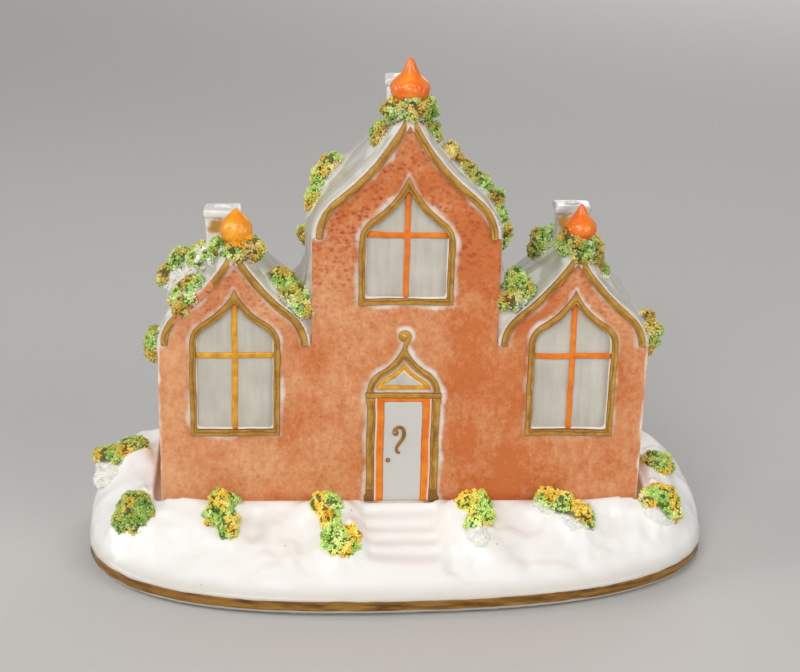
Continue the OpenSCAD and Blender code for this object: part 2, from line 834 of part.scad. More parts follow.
module main_moss(tufts) {
    roof_moss(main_gable, 0, main_eave, tufts) {
        finial_block(0, main_ridge, main_finial_r, main_finial_h);
        chimney_block(main_chimney_x, main_chimney_h, main_eave, main_ridge);
    }
}

module left_moss(tufts) {
    roof_moss(wing_gable, -wing_x, wing_eave, tufts) {
        finial_block(wing_finial_x - wing_x, wing_ridge, wing_finial_r, left_finial_h);
        chimney_block(left_chimney_x - wing_x, left_chimney_h, wing_eave, wing_ridge);
    }
}

module right_moss(tufts) {
    roof_moss(wing_gable, wing_x, wing_eave, tufts) {
        finial_block(wing_x + wing_finial_x, wing_ridge, wing_finial_r, right_finial_h);
        chimney_block(wing_x + right_chimney_x, right_chimney_h, wing_eave, wing_ridge);
    }
}

// Moss on the outer face of a wall at x, below an eave
module side_moss(x, eave, t) {
    color("yellowgreen")
    difference() {
        tuft([x, house_front + t[0]*house_d, eave - t[1]*moss_tuft], moss_tuft*[t[2], t[3], t[4]]);
        house_block();
    }
}

base();
pastille();
front_wall();
back_wall();
side_wall(-1);  // left_wall
side_wall(1);  // right_wall
cheek(-1);  // main_left_cheek
cheek(1);  // main_right_cheek
roof(main_gable, 0, main_eave, main_chimney_x);  // main_roof
roof(wing_gable, -wing_x, wing_eave, left_chimney_x);  // left_roof
roof(wing_gable, wing_x, wing_eave, right_chimney_x);  // right_roof
chimney(main_gable, 0, main_chimney_x, main_chimney_h, main_eave);  // main_chimney
chimney(wing_gable, -wing_x, left_chimney_x, left_chimney_h, wing_eave);  // left_chimney
chimney(wing_gable, wing_x, right_chimney_x, right_chimney_h, wing_eave);  // right_chimney
finial(main_gable, 0, 0, main_eave, main_finial_r, main_finial_h, "darkorange");  // main_finial
finial(wing_gable, -wing_x, wing_finial_x, wing_eave, wing_finial_r, left_finial_h, "orange");  // left_finial
finial(wing_gable, wing_x, wing_finial_x, wing_eave, wing_finial_r, right_finial_h, "darkorange");  // right_finial
bargeboard(main_gable, 0, main_eave);  // main_bargeboard
bargeboard(wing_gable, -wing_x, wing_eave);  // left_bargeboard
bargeboard(wing_gable, wing_x, wing_eave);  // right_bargeboard
window_frame(0, main_glass(0), main_glass());  // main_window_frame
window_frame(-wing_x, wing_glass(0), wing_glass());  // left_window_frame
window_frame(wing_x, wing_glass(0), wing_glass());  // right_window_frame
window_pane(0, main_glass());  // main_window_pane
window_pane(-wing_x, wing_glass());  // left_window_pane
window_pane(wing_x, wing_glass());  // right_window_pane
glazing_bars(0, main_glass(), seat_z + main_bar_h, "darkorange");  // main_glazing_bars
glazing_bars(-wing_x, wing_glass(), seat_z + wing_bar_h, "goldenrod");  // left_glazing_bars
glazing_bars(wing_x, wing_glass(), seat_z + wing_bar_h, "darkorange");  // right_glazing_bars
door_leaf();
door_architrave();
door_columns();
door_cornice();
door_hood();
door_hood_knob();
fanlight_frame();
fanlight_pane();
door_handle();
base_moss(moss_left_rear);  // base_moss_left_rear
base_moss(moss_left_corner);  // base_moss_left_corner
base_moss(moss_left_window);  // base_moss_left_window
base_moss(moss_left_steps);  // base_moss_left_steps
base_moss(moss_right_steps);  // base_moss_right_steps
base_moss(moss_right_window);  // base_moss_right_window
base_moss(moss_right_corner);  // base_moss_right_corner
base_moss(moss_right_rear);  // base_moss_right_rear
main_moss(concat(finial_ring(main_gable, main_finial_r), main_collar));  // main_finial_moss
main_moss(main_left_run);  // main_left_moss
main_moss(concat(main_right_upper, main_right_lower));  // main_right_moss
side_moss(-main_w/2, main_eave, cheek_tuft);  // main_cheek_moss
left_moss(concat(finial_ring(wing_gable, wing_finial_r, wing_finial_x), left_collar, left_collar_end));  // left_finial_moss
left_moss(left_slope);  // left_slope_moss
left_moss(left_valley);  // left_valley_moss
side_moss(-house_w/2, wing_eave, left_eave_tuft);  // left_eave_moss
right_moss(concat(finial_ring(wing_gable, wing_finial_r, wing_finial_x), right_collar));  // right_finial_moss
right_moss(right_ridge);  // right_ridge_moss
right_moss(right_valley);  // right_valley_moss
side_moss(house_w/2, wing_eave, right_eave_tuft);  // right_eave_moss
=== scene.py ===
import math
import random

import bpy
from mathutils import Matrix, Vector, noise
from mathutils.bvhtree import BVHTree


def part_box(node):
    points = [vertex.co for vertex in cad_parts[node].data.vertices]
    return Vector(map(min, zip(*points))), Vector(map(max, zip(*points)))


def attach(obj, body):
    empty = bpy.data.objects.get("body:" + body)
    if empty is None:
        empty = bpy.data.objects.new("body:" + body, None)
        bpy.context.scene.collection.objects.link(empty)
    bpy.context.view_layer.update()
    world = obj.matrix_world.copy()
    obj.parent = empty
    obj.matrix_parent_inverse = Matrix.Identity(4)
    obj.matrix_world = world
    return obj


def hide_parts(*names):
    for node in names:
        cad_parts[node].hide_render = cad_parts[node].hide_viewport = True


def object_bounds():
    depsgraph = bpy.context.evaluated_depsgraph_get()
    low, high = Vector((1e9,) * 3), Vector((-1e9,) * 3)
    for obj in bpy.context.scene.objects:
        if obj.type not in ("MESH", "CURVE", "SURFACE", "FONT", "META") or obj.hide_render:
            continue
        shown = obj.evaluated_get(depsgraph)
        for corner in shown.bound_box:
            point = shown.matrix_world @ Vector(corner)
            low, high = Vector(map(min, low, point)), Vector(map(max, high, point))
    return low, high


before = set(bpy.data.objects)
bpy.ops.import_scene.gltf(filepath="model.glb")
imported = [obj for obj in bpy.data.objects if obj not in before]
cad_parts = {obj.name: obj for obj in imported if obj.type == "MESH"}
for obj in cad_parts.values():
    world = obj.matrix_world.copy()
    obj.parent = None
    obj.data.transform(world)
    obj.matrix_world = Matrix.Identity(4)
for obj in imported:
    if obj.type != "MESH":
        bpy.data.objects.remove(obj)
cad_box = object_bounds()

MM = 0.001
SEED = 11
draw = random.Random(SEED)
noise.seed_set(SEED)

# Levels and planes of the house, in mm
HOUSE_FRONT = -16.0
HOUSE_HALF_W = 59.5
HOUSE_HALF_D = 16.0
WALL_T = 2.5
SEAT_Z = 15.5
WING_EAVE = 59.5
MAIN_EAVE = 86.5
MAIN_HALF_W = 22.5


def mm(*values):
    """A place in metres from millimetres."""
    return Vector(values) * MM


def per(size):
    """Texture scale at which one feature is this many millimetres wide."""
    return 1 / (size * MM)


def paint(code):
    """Linear colour from an sRGB hex value."""
    parts = [int(code[i:i + 2], 16) / 255 for i in (1, 3, 5)]
    linear = [p / 12.92 if p <= 0.04045 else ((p + 0.055) / 1.055) ** 2.4 for p in parts]
    return (*linear, 1.0)


def clamp(value, low=0, high=1):
    return min(max(value, low), high)


def ease(low, high, value):
    """Soft step from 0 at low to 1 at high."""
    share = clamp((value - low) / (high - low))
    return share * share * (3 - 2 * share)


def blend(first, second, share):
    """A colour between two linear colours."""
    return [a + (b - a) * share for a, b in zip(first, second)]


# Camera: bearing, height and roll in degrees, and the focal length in pixels of an 800 wide image
CAMERA_BEARING = -3.49
CAMERA_HEIGHT = 21.0
CAMERA_ROLL = 1.40
CAMERA_FOCUS = 1766
IMAGE_W = 800
SENSOR_W = 36
CAMERA_AIM = mm(-1.2, -16, 62)
CAMERA_REACH = 425.8 * MM


def add_camera():
    """A camera fitted to the view of the front."""
    a = math.radians(CAMERA_BEARING)
    e = math.radians(CAMERA_HEIGHT)
    back = Vector((math.sin(a) * math.cos(e), -math.cos(a) * math.cos(e), math.sin(e)))
    right = Vector((math.cos(a), math.sin(a), 0))
    turn = Matrix((right, back.cross(right), back)).transposed()
    data = bpy.data.cameras.new("camera")
    data.sensor_width = SENSOR_W
    data.lens = SENSOR_W * CAMERA_FOCUS / IMAGE_W
    camera = bpy.data.objects.new("camera", data)
    bpy.context.collection.objects.link(camera)
    roll = Matrix.Rotation(math.radians(CAMERA_ROLL), 3, "Z")
    camera.matrix_world = Matrix.Translation(CAMERA_AIM + back * CAMERA_REACH) @ (turn @ roll).to_4x4()
    bpy.context.scene.camera = camera


# Materials

def add_node(tree, kind, sockets, **settings):
    """Adds one node: its own settings, and its inputs by name or number, each linked or set."""
    made = tree.nodes.new("ShaderNode" + kind)
    for key, value in settings.items():
        setattr(made, key, value)
    for key, value in sockets.items():
        if isinstance(value, bpy.types.NodeSocket):
            tree.links.new(value, made.inputs[key])
        else:
            made.inputs[key].default_value = value
    return made


def new_material(name, **sockets):
    """A material with its constants set on the shader, its node tree, shader and Object coordinates."""
    material = bpy.data.materials.new(name)
    material.use_nodes = True
    tree = material.node_tree
    shader = tree.nodes["Principled BSDF"]
    for key, value in sockets.items():
        shader.inputs[key.replace("_", " ")].default_value = value
    place = add_node(tree, "TexCoord", {}).outputs["Object"]
    return material, tree, shader, place


def feed(tree, shader, **values):
    """Links values to inputs of a shader."""
    for key, value in values.items():
        tree.links.new(value, shader.inputs[key.replace("_", " ")])


def stored(tree, name):
    """The number that a piece stores for each point under a name, or 0."""
    return add_node(tree, "Attribute", {}, attribute_name=name).outputs["Fac"]


def stretched(tree, place, *scale):
    """Coordinates drawn out along each axis whose scale is under 1."""
    return add_node(tree, "Mapping", {"Vector": place, "Scale": scale}).outputs[0]


def soft_noise(tree, place, size, detail, **sockets):
    """Noise from 0 to 1 with features of a size in mm."""
    sockets = {"Vector": place, "Scale": per(size), "Detail": detail, **sockets}
    return add_node(tree, "TexNoise", sockets).outputs["Fac"]


def compute(tree, operation, *values):
    return add_node(tree, "Math", dict(enumerate(values)), operation=operation).outputs[0]


def remap(tree, value, low, high, first=0.0, last=1.0, soft=False):
    """Runs from first to last as a value runs from low to high, and stays there beyond."""
    sockets = {"Value": value, "From Min": low, "From Max": high, "To Min": first, "To Max": last}
    kind = "SMOOTHSTEP" if soft else "LINEAR"
    return add_node(tree, "MapRange", sockets, interpolation_type=kind).outputs[0]


def spread_of(tree, value, first, last):
    """Runs from first to last as a value runs from 0 to 1."""
    return remap(tree, value, 0.0, 1.0, first, last)


def mixed(tree, share, first, second):
    """A colour between two, each a hex value or the colour of another node."""
    ends = [paint(end) if isinstance(end, str) else end for end in (first, second)]
    return add_node(tree, "Mix", {0: share, 6: ends[0], 7: ends[1]}, data_type="RGBA").outputs[2]


def relief(tree, height, strength, depth):
    """Normals that follow a height from 0 to 1, with a depth in mm."""
    sockets = {"Height": height, "Strength": strength, "Distance": depth * MM}
    return add_node(tree, "Bump", sockets).outputs[0]


CHINA_SHEEN = 0.16
MOUND_SHEEN = 0.3
BAND_SHEEN = 0.38
BAND_METAL = 0.35
BAND_LEVEL = 3.6 * MM
BAND_HALF = 1.15 * MM
BAND_EDGE = 0.23 * MM
BAND_SWAY = 0.45 * MM
# Painted shade on the rim above the gold line: the levels it runs between, and its depth
RIM_SHADE_LOW = 4.6 * MM
RIM_SHADE_HIGH = 8.4 * MM
RIM_SHADE_DEPTH = 0.85
SPECK_SPACING = 6.5


def glazed_china(name, sheen, banded=False):
    """Lead glaze over white china: creamy, glossy, faintly uneven, with a few dark kiln specks."""
    material, tree, shader, place = new_material(name, Roughness=sheen, IOR=1.5)
    cells = add_node(tree, "TexVoronoi", {"Vector": place, "Scale": per(SPECK_SPACING)})
    speck = remap(tree, cells.outputs["Distance"], 0.022, 0.04, 0.7, 0.0)
    colour = mixed(tree, soft_noise(tree, place, 22, 3.0), "#f9f8f5", "#f3f1ec")
    colour = mixed(tree, speck, colour, "#6e5c48")
    if banded:
        colour = gilt_band(tree, shader, place, colour)
    else:
        colour = mixed(tree, stored(tree, "smudge"), colour, "#d0982e")
        # Soot greys the chimneys; on the door leaf the same grey is painted shade
        colour = mixed(tree, stored(tree, "soot_and_door_shade"), colour, "#8f8a7e")
    peel = relief(tree, soft_noise(tree, place, 3.2, 2.0), 0.25, 0.06)
    feed(tree, shader, Base_Color=colour, Normal=peel)
    return material


def gilt_band(tree, shader, place, china):
    """Brush-drawn gold line round the foot, brown where thin, with painted shade greying the glaze along the
    rim above it.
    """
    sway = spread_of(tree, soft_noise(tree, place, 9, 2.0), -BAND_SWAY, BAND_SWAY)
    height = add_node(tree, "SeparateXYZ", {"Vector": place}).outputs["Z"]
    level = compute(tree, "ADD", height, sway)
    off = compute(tree, "ABSOLUTE", compute(tree, "SUBTRACT", level, BAND_LEVEL))
    outside = stored(tree, "outside")
    band = compute(tree, "MULTIPLY", remap(tree, off, BAND_HALF, BAND_HALF + BAND_EDGE, 1.0, 0.0), outside)
    strokes = soft_noise(tree, stretched(tree, place, 1.0, 1.0, 7.0), 9, 5.0, Roughness=0.6)
    gold = mixed(tree, remap(tree, strokes, 0.35, 0.65), "#623c11", "#b0823a")
    metal = compute(tree, "MULTIPLY", band, BAND_METAL)
    feed(tree, shader, Metallic=metal, Roughness=spread_of(tree, band, MOUND_SHEEN, BAND_SHEEN))
    # Painted shade: the glaze greys towards the gold line, where the rim turns down
    rim_shade = remap(tree, level, RIM_SHADE_LOW, RIM_SHADE_HIGH, RIM_SHADE_DEPTH, 0.0, soft=True)
    china = mixed(tree, compute(tree, "MULTIPLY", rim_shade, outside), china, "#cbc5b8")
    return mixed(tree, band, china, gold)


def salmon_enamel():
    """Enamel wash dabbed on with a sponge: blotchy salmon, red-brown dabs in the gables, bare at trim."""
    material, tree, shader, place = new_material("salmon_enamel_wash", Roughness=0.3, IOR=1.5)
    brushed = stretched(tree, place, 1.1, 1.0, 0.8)
    runny = stretched(tree, place, 1.0, 1.0, 0.2)
    mottle = soft_noise(tree, brushed, 2.2, 6.0, Roughness=0.72)
    layers = [
        (soft_noise(tree, place, 15, 3.0), 0.85),
        (mottle, 0.75),
        (soft_noise(tree, runny, 0.9, 3.0, Roughness=0.6), 0.16),
        (soft_noise(tree, brushed, 0.8, 3.0, Roughness=0.7), 0.45),
    ]
    thickness = stored(tree, "thick")
    for layer, weight in layers:
        thickness = compute(tree, "MULTIPLY_ADD", layer, weight, thickness)
    wash = mixed(tree, remap(tree, thickness, 0.87, 1.33), "#ebae7c", "#d07236")
    dabbed = mixed(tree, sponge_dabs(tree, place), wash, "#ae4219")
    edge = spread_of(tree, soft_noise(tree, place, 6, 4.0), -1.0, 0.8)
    edge = compute(tree, "ADD", stored(tree, "bare"), edge)
    colour = mixed(tree, remap(tree, edge, 0.24, 0.98, soft=True), dabbed, "#f3ebdf")
    feed(tree, shader, Base_Color=colour, Normal=relief(tree, mottle, 0.35, 0.12))
    return material


def sponge_dabs(tree, place):
    """Slanting ragged dabs, from 0 to 1, in patches and where the piece stores its gables."""
    slant = add_node(tree, "Mapping", {
        "Vector": place, "Rotation": (0.0, 0.5, 0.0), "Scale": (0.85, 1.0, 1.2)})
    cells = add_node(tree, "TexVoronoi", {"Vector": slant.outputs[0], "Scale": per(1.35)})
    reach = compute(tree, "ADD", cells.outputs["Distance"], soft_noise(tree, place, 0.9, 2.0))
    dab = remap(tree, reach, 0.7, 1.08, 1.0, 0.0)
    chance = remap(tree, cells.outputs["Color"], 0.1, 0.55, 0.35, 1.0)
    patchy = remap(tree, soft_noise(tree, place, 6, 1.0), 0.34, 0.54, 0.5, 1.0)
    for share in (chance, patchy, stored(tree, "gable")):
        dab = compute(tree, "MULTIPLY", dab, share)
    return dab


def brushed_wash(tree, place, stretch, width, cloud, thick, thin):
    """Streaks of a flat brush, width and cloud in mm, in two colours. Returns colour, streaks and clouds."""
    streak = soft_noise(tree, stretched(tree, place, *stretch), width, 4.0, Roughness=0.6)
    broad = soft_noise(tree, place, cloud, 2.0)
    share = remap(tree, compute(tree, "ADD", streak, broad), 0.7, 1.3)
    return mixed(tree, share, thick, thin), streak, broad


def grey_wash():
    """Thin grey brushed down the roof slopes over white glaze, left bare along the gables."""
    material, tree, shader, place = new_material("grey_wash_on_glaze", Roughness=0.2, IOR=1.5)
    grey, streak, broad = brushed_wash(tree, place, (0.12, 1.0, 0.12), 1.6, 11, "#b4ae9f", "#d6d2c6")
    colour = mixed(tree, stored(tree, "bare"), grey, "#f0ede5")
    feed(tree, shader, Base_Color=colour, Normal=relief(tree, streak, 0.15, 0.06))
    return material


def pane_wash():
    """Grey enamel drawn down each pane with a flat brush, so upright streaks show."""
    material, tree, shader, place = new_material("brushed_pane_enamel", Roughness=0.22, IOR=1.5)
    grey, streak, broad = brushed_wash(tree, place, (1.0, 1.0, 0.1), 1.5, 7, "#beb9ac", "#d4cfc3")
    edge = compute(tree, "ADD", stored(tree, "bare"), spread_of(tree, broad, -0.4, 0.4))
    colour = mixed(tree, remap(tree, edge, 0.8, 0.98, soft=True), grey, "#ede9e0")
    feed(tree, shader, Base_Color=colour)
    return material


def gilding():
    """Fired gilding on a raised rib: dull gold, with brown edges and a brown line along it."""
    material, tree, shader, place = new_material("fired_gilding", Roughness=0.42)
    wear = soft_noise(tree, place, 2.6, 4.0, Roughness=0.65)
    gold = mixed(tree, remap(tree, wear, 0.3, 0.7), "#a97524", "#d8a548")
    across = stored(tree, "across")
    drift = spread_of(tree, soft_noise(tree, place, 5, 3.0), -0.7, 1.3)
    line = compute(tree, "ABSOLUTE", compute(tree, "ADD", across, drift))
    line = remap(tree, line, 0.05, 0.4, 0.6, 0.0)
    rim = remap(tree, compute(tree, "ABSOLUTE", across), 0.72, 1.0, 0.0, 0.8)
    colour = mixed(tree, compute(tree, "MAXIMUM", line, rim), gold, "#744516")
    bare = stored(tree, "bare")
    colour = mixed(tree, bare, colour, "#e9dccd")
    feed(tree, shader, Base_Color=colour, Metallic=spread_of(tree, bare, 0.35, 0.0))
    feed(tree, shader, Normal=relief(tree, wear, 0.2, 0.05))
    return material


def enamel(name, thick, thin, size):
    """Overglaze enamel: glossy, deeper in colour where the brush left it thick."""
    material, tree, shader, place = new_material(name, Roughness=0.2, IOR=1.5)
    stroke = soft_noise(tree, place, size, 3.0)
    colour = mixed(tree, remap(tree, stroke, 0.32, 0.68), thin, thick)
    colour = mixed(tree, stored(tree, "bare"), colour, "#f0eae0")
    feed(tree, shader, Base_Color=colour, Normal=relief(tree, stroke, 0.2, 0.08))
    return material


def clay_moss_glaze():
    """Sieved clay strands under coloured glaze: green and ochre run together, with painted shade at the
    roots and a painted highlight at the tips, carried in each point's tint.
    """
    material, tree, shader, place = new_material(
        "glazed_clay_moss", Roughness=0.32, IOR=1.5, Specular_IOR_Level=0.3)
    tint = add_node(tree, "Attribute", {}, attribute_name="tint").outputs["Color"]
    level = spread_of(tree, soft_noise(tree, place, 0.9, 2.0), 0.7, 1.3)
    colour = add_node(tree, "VectorMath", {0: tint, 1: level}, operation="MULTIPLY").outputs[0]
    feed(tree, shader, Base_Color=colour)
    return material


def pressed_charcoal():
    """Pressed charcoal paste: near black, dry and grainy."""
    material, tree, shader, place = new_material("pressed_charcoal", Roughness=0.9)
    grain = soft_noise(tree, place, 0.8, 4.0)
    colour = mixed(tree, grain, "#1f1c19", "#48423b")
    feed(tree, shader, Base_Color=colour, Normal=relief(tree, grain, 0.6, 0.25))
    return material


CHINA = glazed_china("glazed_china", CHINA_SHEEN)
BANDED_CHINA = glazed_china("glazed_china_with_gilt_line", MOUND_SHEEN, banded=True)
SALMON = salmon_enamel()
ROOF_GREY = grey_wash()
PANE_GREY = pane_wash()
GOLD = gilding()
ORANGE = enamel("orange_enamel", "#e86c06", "#f68c16", 2.6)
YELLOW = enamel("yellow_enamel", "#d6860a", "#f0b424", 2.2)
FINIAL_ORANGE = enamel("orange_finial_enamel", "#f0620a", "#fa8e26", 4.5)
FINIAL_YELLOW = enamel("yellow_finial_enamel", "#f08c0c", "#fbb62c", 4.0)
MOSS = clay_moss_glaze()
CHARCOAL = pressed_charcoal()


# Shaping: copies of the CAD solids, softened as slip-cast and glazed china is

WELD = 0.002 * MM


def select_only(*pieces):
    bpy.ops.object.select_all(action="DESELECT")
    for piece in pieces:
        piece.select_set(True)
    bpy.context.view_layer.objects.active = pieces[0]


def cast_of(name, *nodes):
    """One mesh of copies of CAD solids, with their loose triangles merged."""
    copies = []
    for node in nodes:
        copy = bpy.data.objects.new(name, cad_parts[node].data.copy())
        bpy.context.collection.objects.link(copy)
        copies.append(copy)
    select_only(*copies)
    if len(copies) > 1:
        bpy.ops.object.join()
    piece = copies[0]
    piece.data.materials.clear()
    bpy.ops.object.mode_set(mode="EDIT")
    bpy.ops.mesh.select_all(action="SELECT")
    bpy.ops.mesh.remove_doubles(threshold=WELD)
    bpy.ops.object.mode_set(mode="OBJECT")
    return piece


def apply(piece, kind, **settings):
    select_only(piece)
    modifier = piece.modifiers.new(kind, kind)
    for key, value in settings.items():
        setattr(modifier, key, value)
    bpy.ops.object.modifier_apply(modifier=modifier.name)


def soften(piece, grain, rounds):
    """Fuses and rounds a piece: grain is the size of its new faces in mm."""
    apply(piece, "REMESH", mode="VOXEL", voxel_size=grain * MM)
    apply(piece, "SMOOTH", factor=0.5, iterations=rounds)


def waver(piece, size, reach):
    """Moves each point by soft noise, as hands leave wet clay: wave size and reach in mm."""
    for vertex in piece.data.vertices:
        vertex.co += noise.noise_vector(vertex.co / (size * MM)) * reach * MM


def ripple(place, size, height, seed=Vector((0, 0, 0))):
    """Soft noise at a place, in waves of a size in mm, as far as a height up and down."""
    return noise.noise(place / (size * MM) + seed) * height


def mark(piece, name, values):
    """Stores one number for each point of a piece, for its material to read."""
    layer = piece.data.attributes.new(name, "FLOAT", "POINT")
    layer.data.foreach_set("value", values)


def surface_of(*nodes):
    """A search tree over CAD solids."""
    points = []
    faces = []
    for node in nodes:
        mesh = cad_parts[node].data
        first = len(points)
        points += [v.co.copy() for v in mesh.vertices]
        faces += [[first + i for i in p.vertices] for p in mesh.polygons]
    return BVHTree.FromPolygons(points, faces)


def closeness(surface, place, reach):
    """How near a place is to a surface: 1 on it, and 0 from a reach in mm away."""
    gap = surface.find_nearest(place, reach * MM)[3]
    return 0 if gap is None else 1 - gap / (reach * MM)


def hold_in_box(place):
    """Keeps a place inside the box of the solids."""
    for axis in range(3):
        place[axis] = clamp(place[axis], cad_box[0][axis], cad_box[1][axis])


def with_normals(piece):
    """Pairs of each point and its normal as it is before any point moves."""
    return zip(piece.data.vertices, [v.normal.copy() for v in piece.data.vertices])


def join_ball(piece, place, radius, segments):
    """Joins a ball to a piece: place and radius in mm."""
    bpy.ops.object.select_all(action="DESELECT")
    bpy.ops.mesh.primitive_uv_sphere_add(
        segments=segments, ring_count=12, radius=radius * MM, location=mm(*place))
    ball = bpy.context.object
    bpy.ops.object.transform_apply(location=True)
    select_only(piece, ball)
    bpy.ops.object.join()


def settle(piece, material, body, slot, *nodes):
    """Finishes a piece: its material, its body and the solids that it stands for. The slot argument is not
    used.
    """
    piece.data.materials.clear()
    piece.data.materials.append(material)
    select_only(piece)
    bpy.ops.object.shade_smooth()
    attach(piece, body)
    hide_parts(*nodes)


# Base: a hand-modelled mound with a seat for the house and four worn steps. Levels and zones in mm

BASE_MOSS = [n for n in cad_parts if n.startswith("base_moss")]
ROOF_MOSS = [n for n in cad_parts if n.endswith("_moss")]
BASE_HALF_W = 79.0
BASE_HALF_D = 43.5
ROUNDNESS = 2.6
RIM_ZONE = (0.72, 0.78)
RIM_H = 5.7
SHOULDER_Z = (RIM_H, RIM_H + 5)
FOOT_Z = (1.4, 3)
FOOT_TUCK = 2.2
FOOT_TUCK_Z = (0, 2.5)
STEP_X = -0.8
STEP_EDGE = (9.5, 13)
STEP_WEAR_X = (11, 15)
STEP_WEAR_Y = (1.5, 4)
STEP_WEAR_Z = (4, 7)
STEP_CALM = 0.15
HUMMOCKS = [(16, 0, 2.0), (6.5, 5, 1.5), (2.8, 9, 0.45)]
HOUSE_CLEAR = (1.8, 5)
MOSS_REACH = 5
MOSS_MOUND = 1.5
TERRACE_LIFT = 0.35
TERRACE_DEPTH = 6
TERRACE_REACH = 22
LANDING_LIFT = 0.55
CORNER_LIFT = 1.6
CORNER_REACH = 6.5
SEAT_EDGE = 1.3
SEAT_LIP_Z = (SEAT_Z + 0.2, SEAT_Z + 1.8)
SEAT_OPENED = 0.65
SEAT_END_Z = (SEAT_Z + 0.2, SEAT_Z + 1.2)
SEAT_END_X = (0.3, 4)
SEAT_END_FADE = (1.2, 4)
FLANK_SWELL = 1.2
FLANK_X = (60, 73)
FLANK_LOW_Z = (RIM_H - 1, RIM_H + 4)
FLANK_HIGH_Z = (12, 18)


def smooth_where(piece, name, share_at, rounds):
    """Smooths part of a piece: share_at gives how much at a place in mm."""
    group = piece.vertex_groups.new(name=name)
    for vertex in piece.data.vertices:
        group.add([vertex.index], share_at(*(vertex.co / MM)), "REPLACE")
    apply(piece, "SMOOTH", factor=0.5, iterations=rounds, vertex_group=name)


def on_steps(x, y, z):
    beside = ease(*STEP_WEAR_X, abs(x - STEP_X))
    return (1 - beside) * ease(*STEP_WEAR_Y, HOUSE_FRONT - y) * ease(*STEP_WEAR_Z, z)


def on_foot(x, y, z):
    return 1 - ease(*FOOT_Z, z)


def hummocks(x, y):
    """Height of the hand-modelled hummocks at a place: each layer has a width, a seed and a height."""
    return sum(noise.noise(Vector((x, y, seed)) / width) * height for width, seed, height in HUMMOCKS)


def terrace_lift(x, y):
    """How far the ground along the foot of the front wall rises over its solid."""
    ahead = HOUSE_FRONT - 1 - y
    beside = ease(*STEP_EDGE, abs(x - STEP_X))
    corner = CORNER_LIFT * math.exp(-((abs(x) - HOUSE_HALF_W) ** 2 + ahead ** 2) / (2 * CORNER_REACH ** 2))
    strip = 1 - ease(0, TERRACE_DEPTH, abs(ahead))
    return corner + strip * (LANDING_LIFT + (TERRACE_LIFT - LANDING_LIFT) * beside)


def end_swell(x, y, z):
    """How far the ends of the mound, and the ends of the seat, stand out past the solid."""
    flank = ease(*FLANK_X, abs(x)) * ease(*FLANK_LOW_Z, z) * (1 - ease(*FLANK_HIGH_Z, z))
    gap = abs(x) - HOUSE_HALF_W
    if SEAT_END_X[0] < gap < SEAT_END_X[1] and abs(y) < HOUSE_HALF_D + 1:
        flank -= SEAT_OPENED * ease(*SEAT_END_Z, z) * (1 - ease(*SEAT_END_FADE, gap))
    return FLANK_SWELL * abs(flank)


def make_base():
    piece = cast_of("mound_base", "base")
    soften(piece, 0.7, 5)
    smooth_where(piece, "worn_steps", on_steps, 9)
    smooth_where(piece, "foot", on_foot, 10)
    roots = surface_of(*BASE_MOSS)
    outside = []
    for vertex in piece.data.vertices:
        x, y, z = vertex.co / MM
        clear = max(abs(x) - HOUSE_HALF_W, abs(y) - HOUSE_HALF_D)
        off_steps = ease(*STEP_EDGE, abs(x - STEP_X)) if y < HOUSE_FRONT else 1
        mound = MOSS_MOUND * closeness(roots, vertex.co, MOSS_REACH) ** 2
        free = ease(*SHOULDER_Z, z) * ease(*HOUSE_CLEAR, clear)
        lift = free * (hummocks(x, y) * (STEP_CALM + (1 - STEP_CALM) * off_steps) + mound)
        if y < HOUSE_FRONT + TERRACE_REACH and z > RIM_H:
            zone = SEAT_LIP_Z if clear < SEAT_EDGE else SHOULDER_Z
            lift += ease(*zone, z) * terrace_lift(x, y)
        vertex.co.z += lift * MM
        vertex.co.x += math.copysign(end_swell(x, y, z) * MM, x)
        hold_in_box(vertex.co)
        along = abs(x) / BASE_HALF_W
        deep = abs(y) / BASE_HALF_D
        rim = ease(*RIM_ZONE, along ** ROUNDNESS + deep ** ROUNDNESS)
        tuck = FOOT_TUCK * rim * (1 - ease(*FOOT_TUCK_Z, z))
        out = Vector((along ** (ROUNDNESS - 1) / BASE_HALF_W, deep ** (ROUNDNESS - 1) / BASE_HALF_D))
        out.normalize()
        vertex.co.x -= math.copysign(out.x * tuck * MM, x)
        vertex.co.y -= math.copysign(out.y * tuck * MM, y)
        outside.append(rim)
    mark(piece, "outside", outside)
    settle(piece, BANDED_CHINA, "base", "white_glaze", "base")


# Walls: the front carries the painted gables, and the sides run into it

TRIM = [
    (0.75, ["main_bargeboard", "left_bargeboard", "right_bargeboard"]),
    (0.87, ["main_window_frame", "left_window_frame", "right_window_frame"]),
    (1.1, ["door_architrave", "door_columns", "door_cornice", "door_hood", "door_hood_knob"]),
    (2.2, ["main_window_pane", "left_window_pane", "right_window_pane", "fanlight_pane", "door_leaf"]),
]
BARE_REACH = 2.0
BUTT = 1.2
CORNER_BARE = 0.7
CORNER_X = (HOUSE_HALF_W - 1.2, HOUSE_HALF_W - 0.2)
MAIN_DABS = (0.25, 1.0)
MAIN_DABS_Z = (60, 88)
WING_DABS = (0.2, 0.8)
WING_DABS_Z = (58, 74)
SIDE_DABS = 0.15
SIDE_THIN = -0.1
THICK_RIGHT = 0.2
THICK_FROM_X = (6, 16)
THICK_TO_X = (30, 50)
THICK_TOP = 0.14
THICK_TOP_Z = (80, 92)
WORN_LEFT = 0.06
WORN_X = (-45, -57)
WALL_WAVE = (7, 0.12)


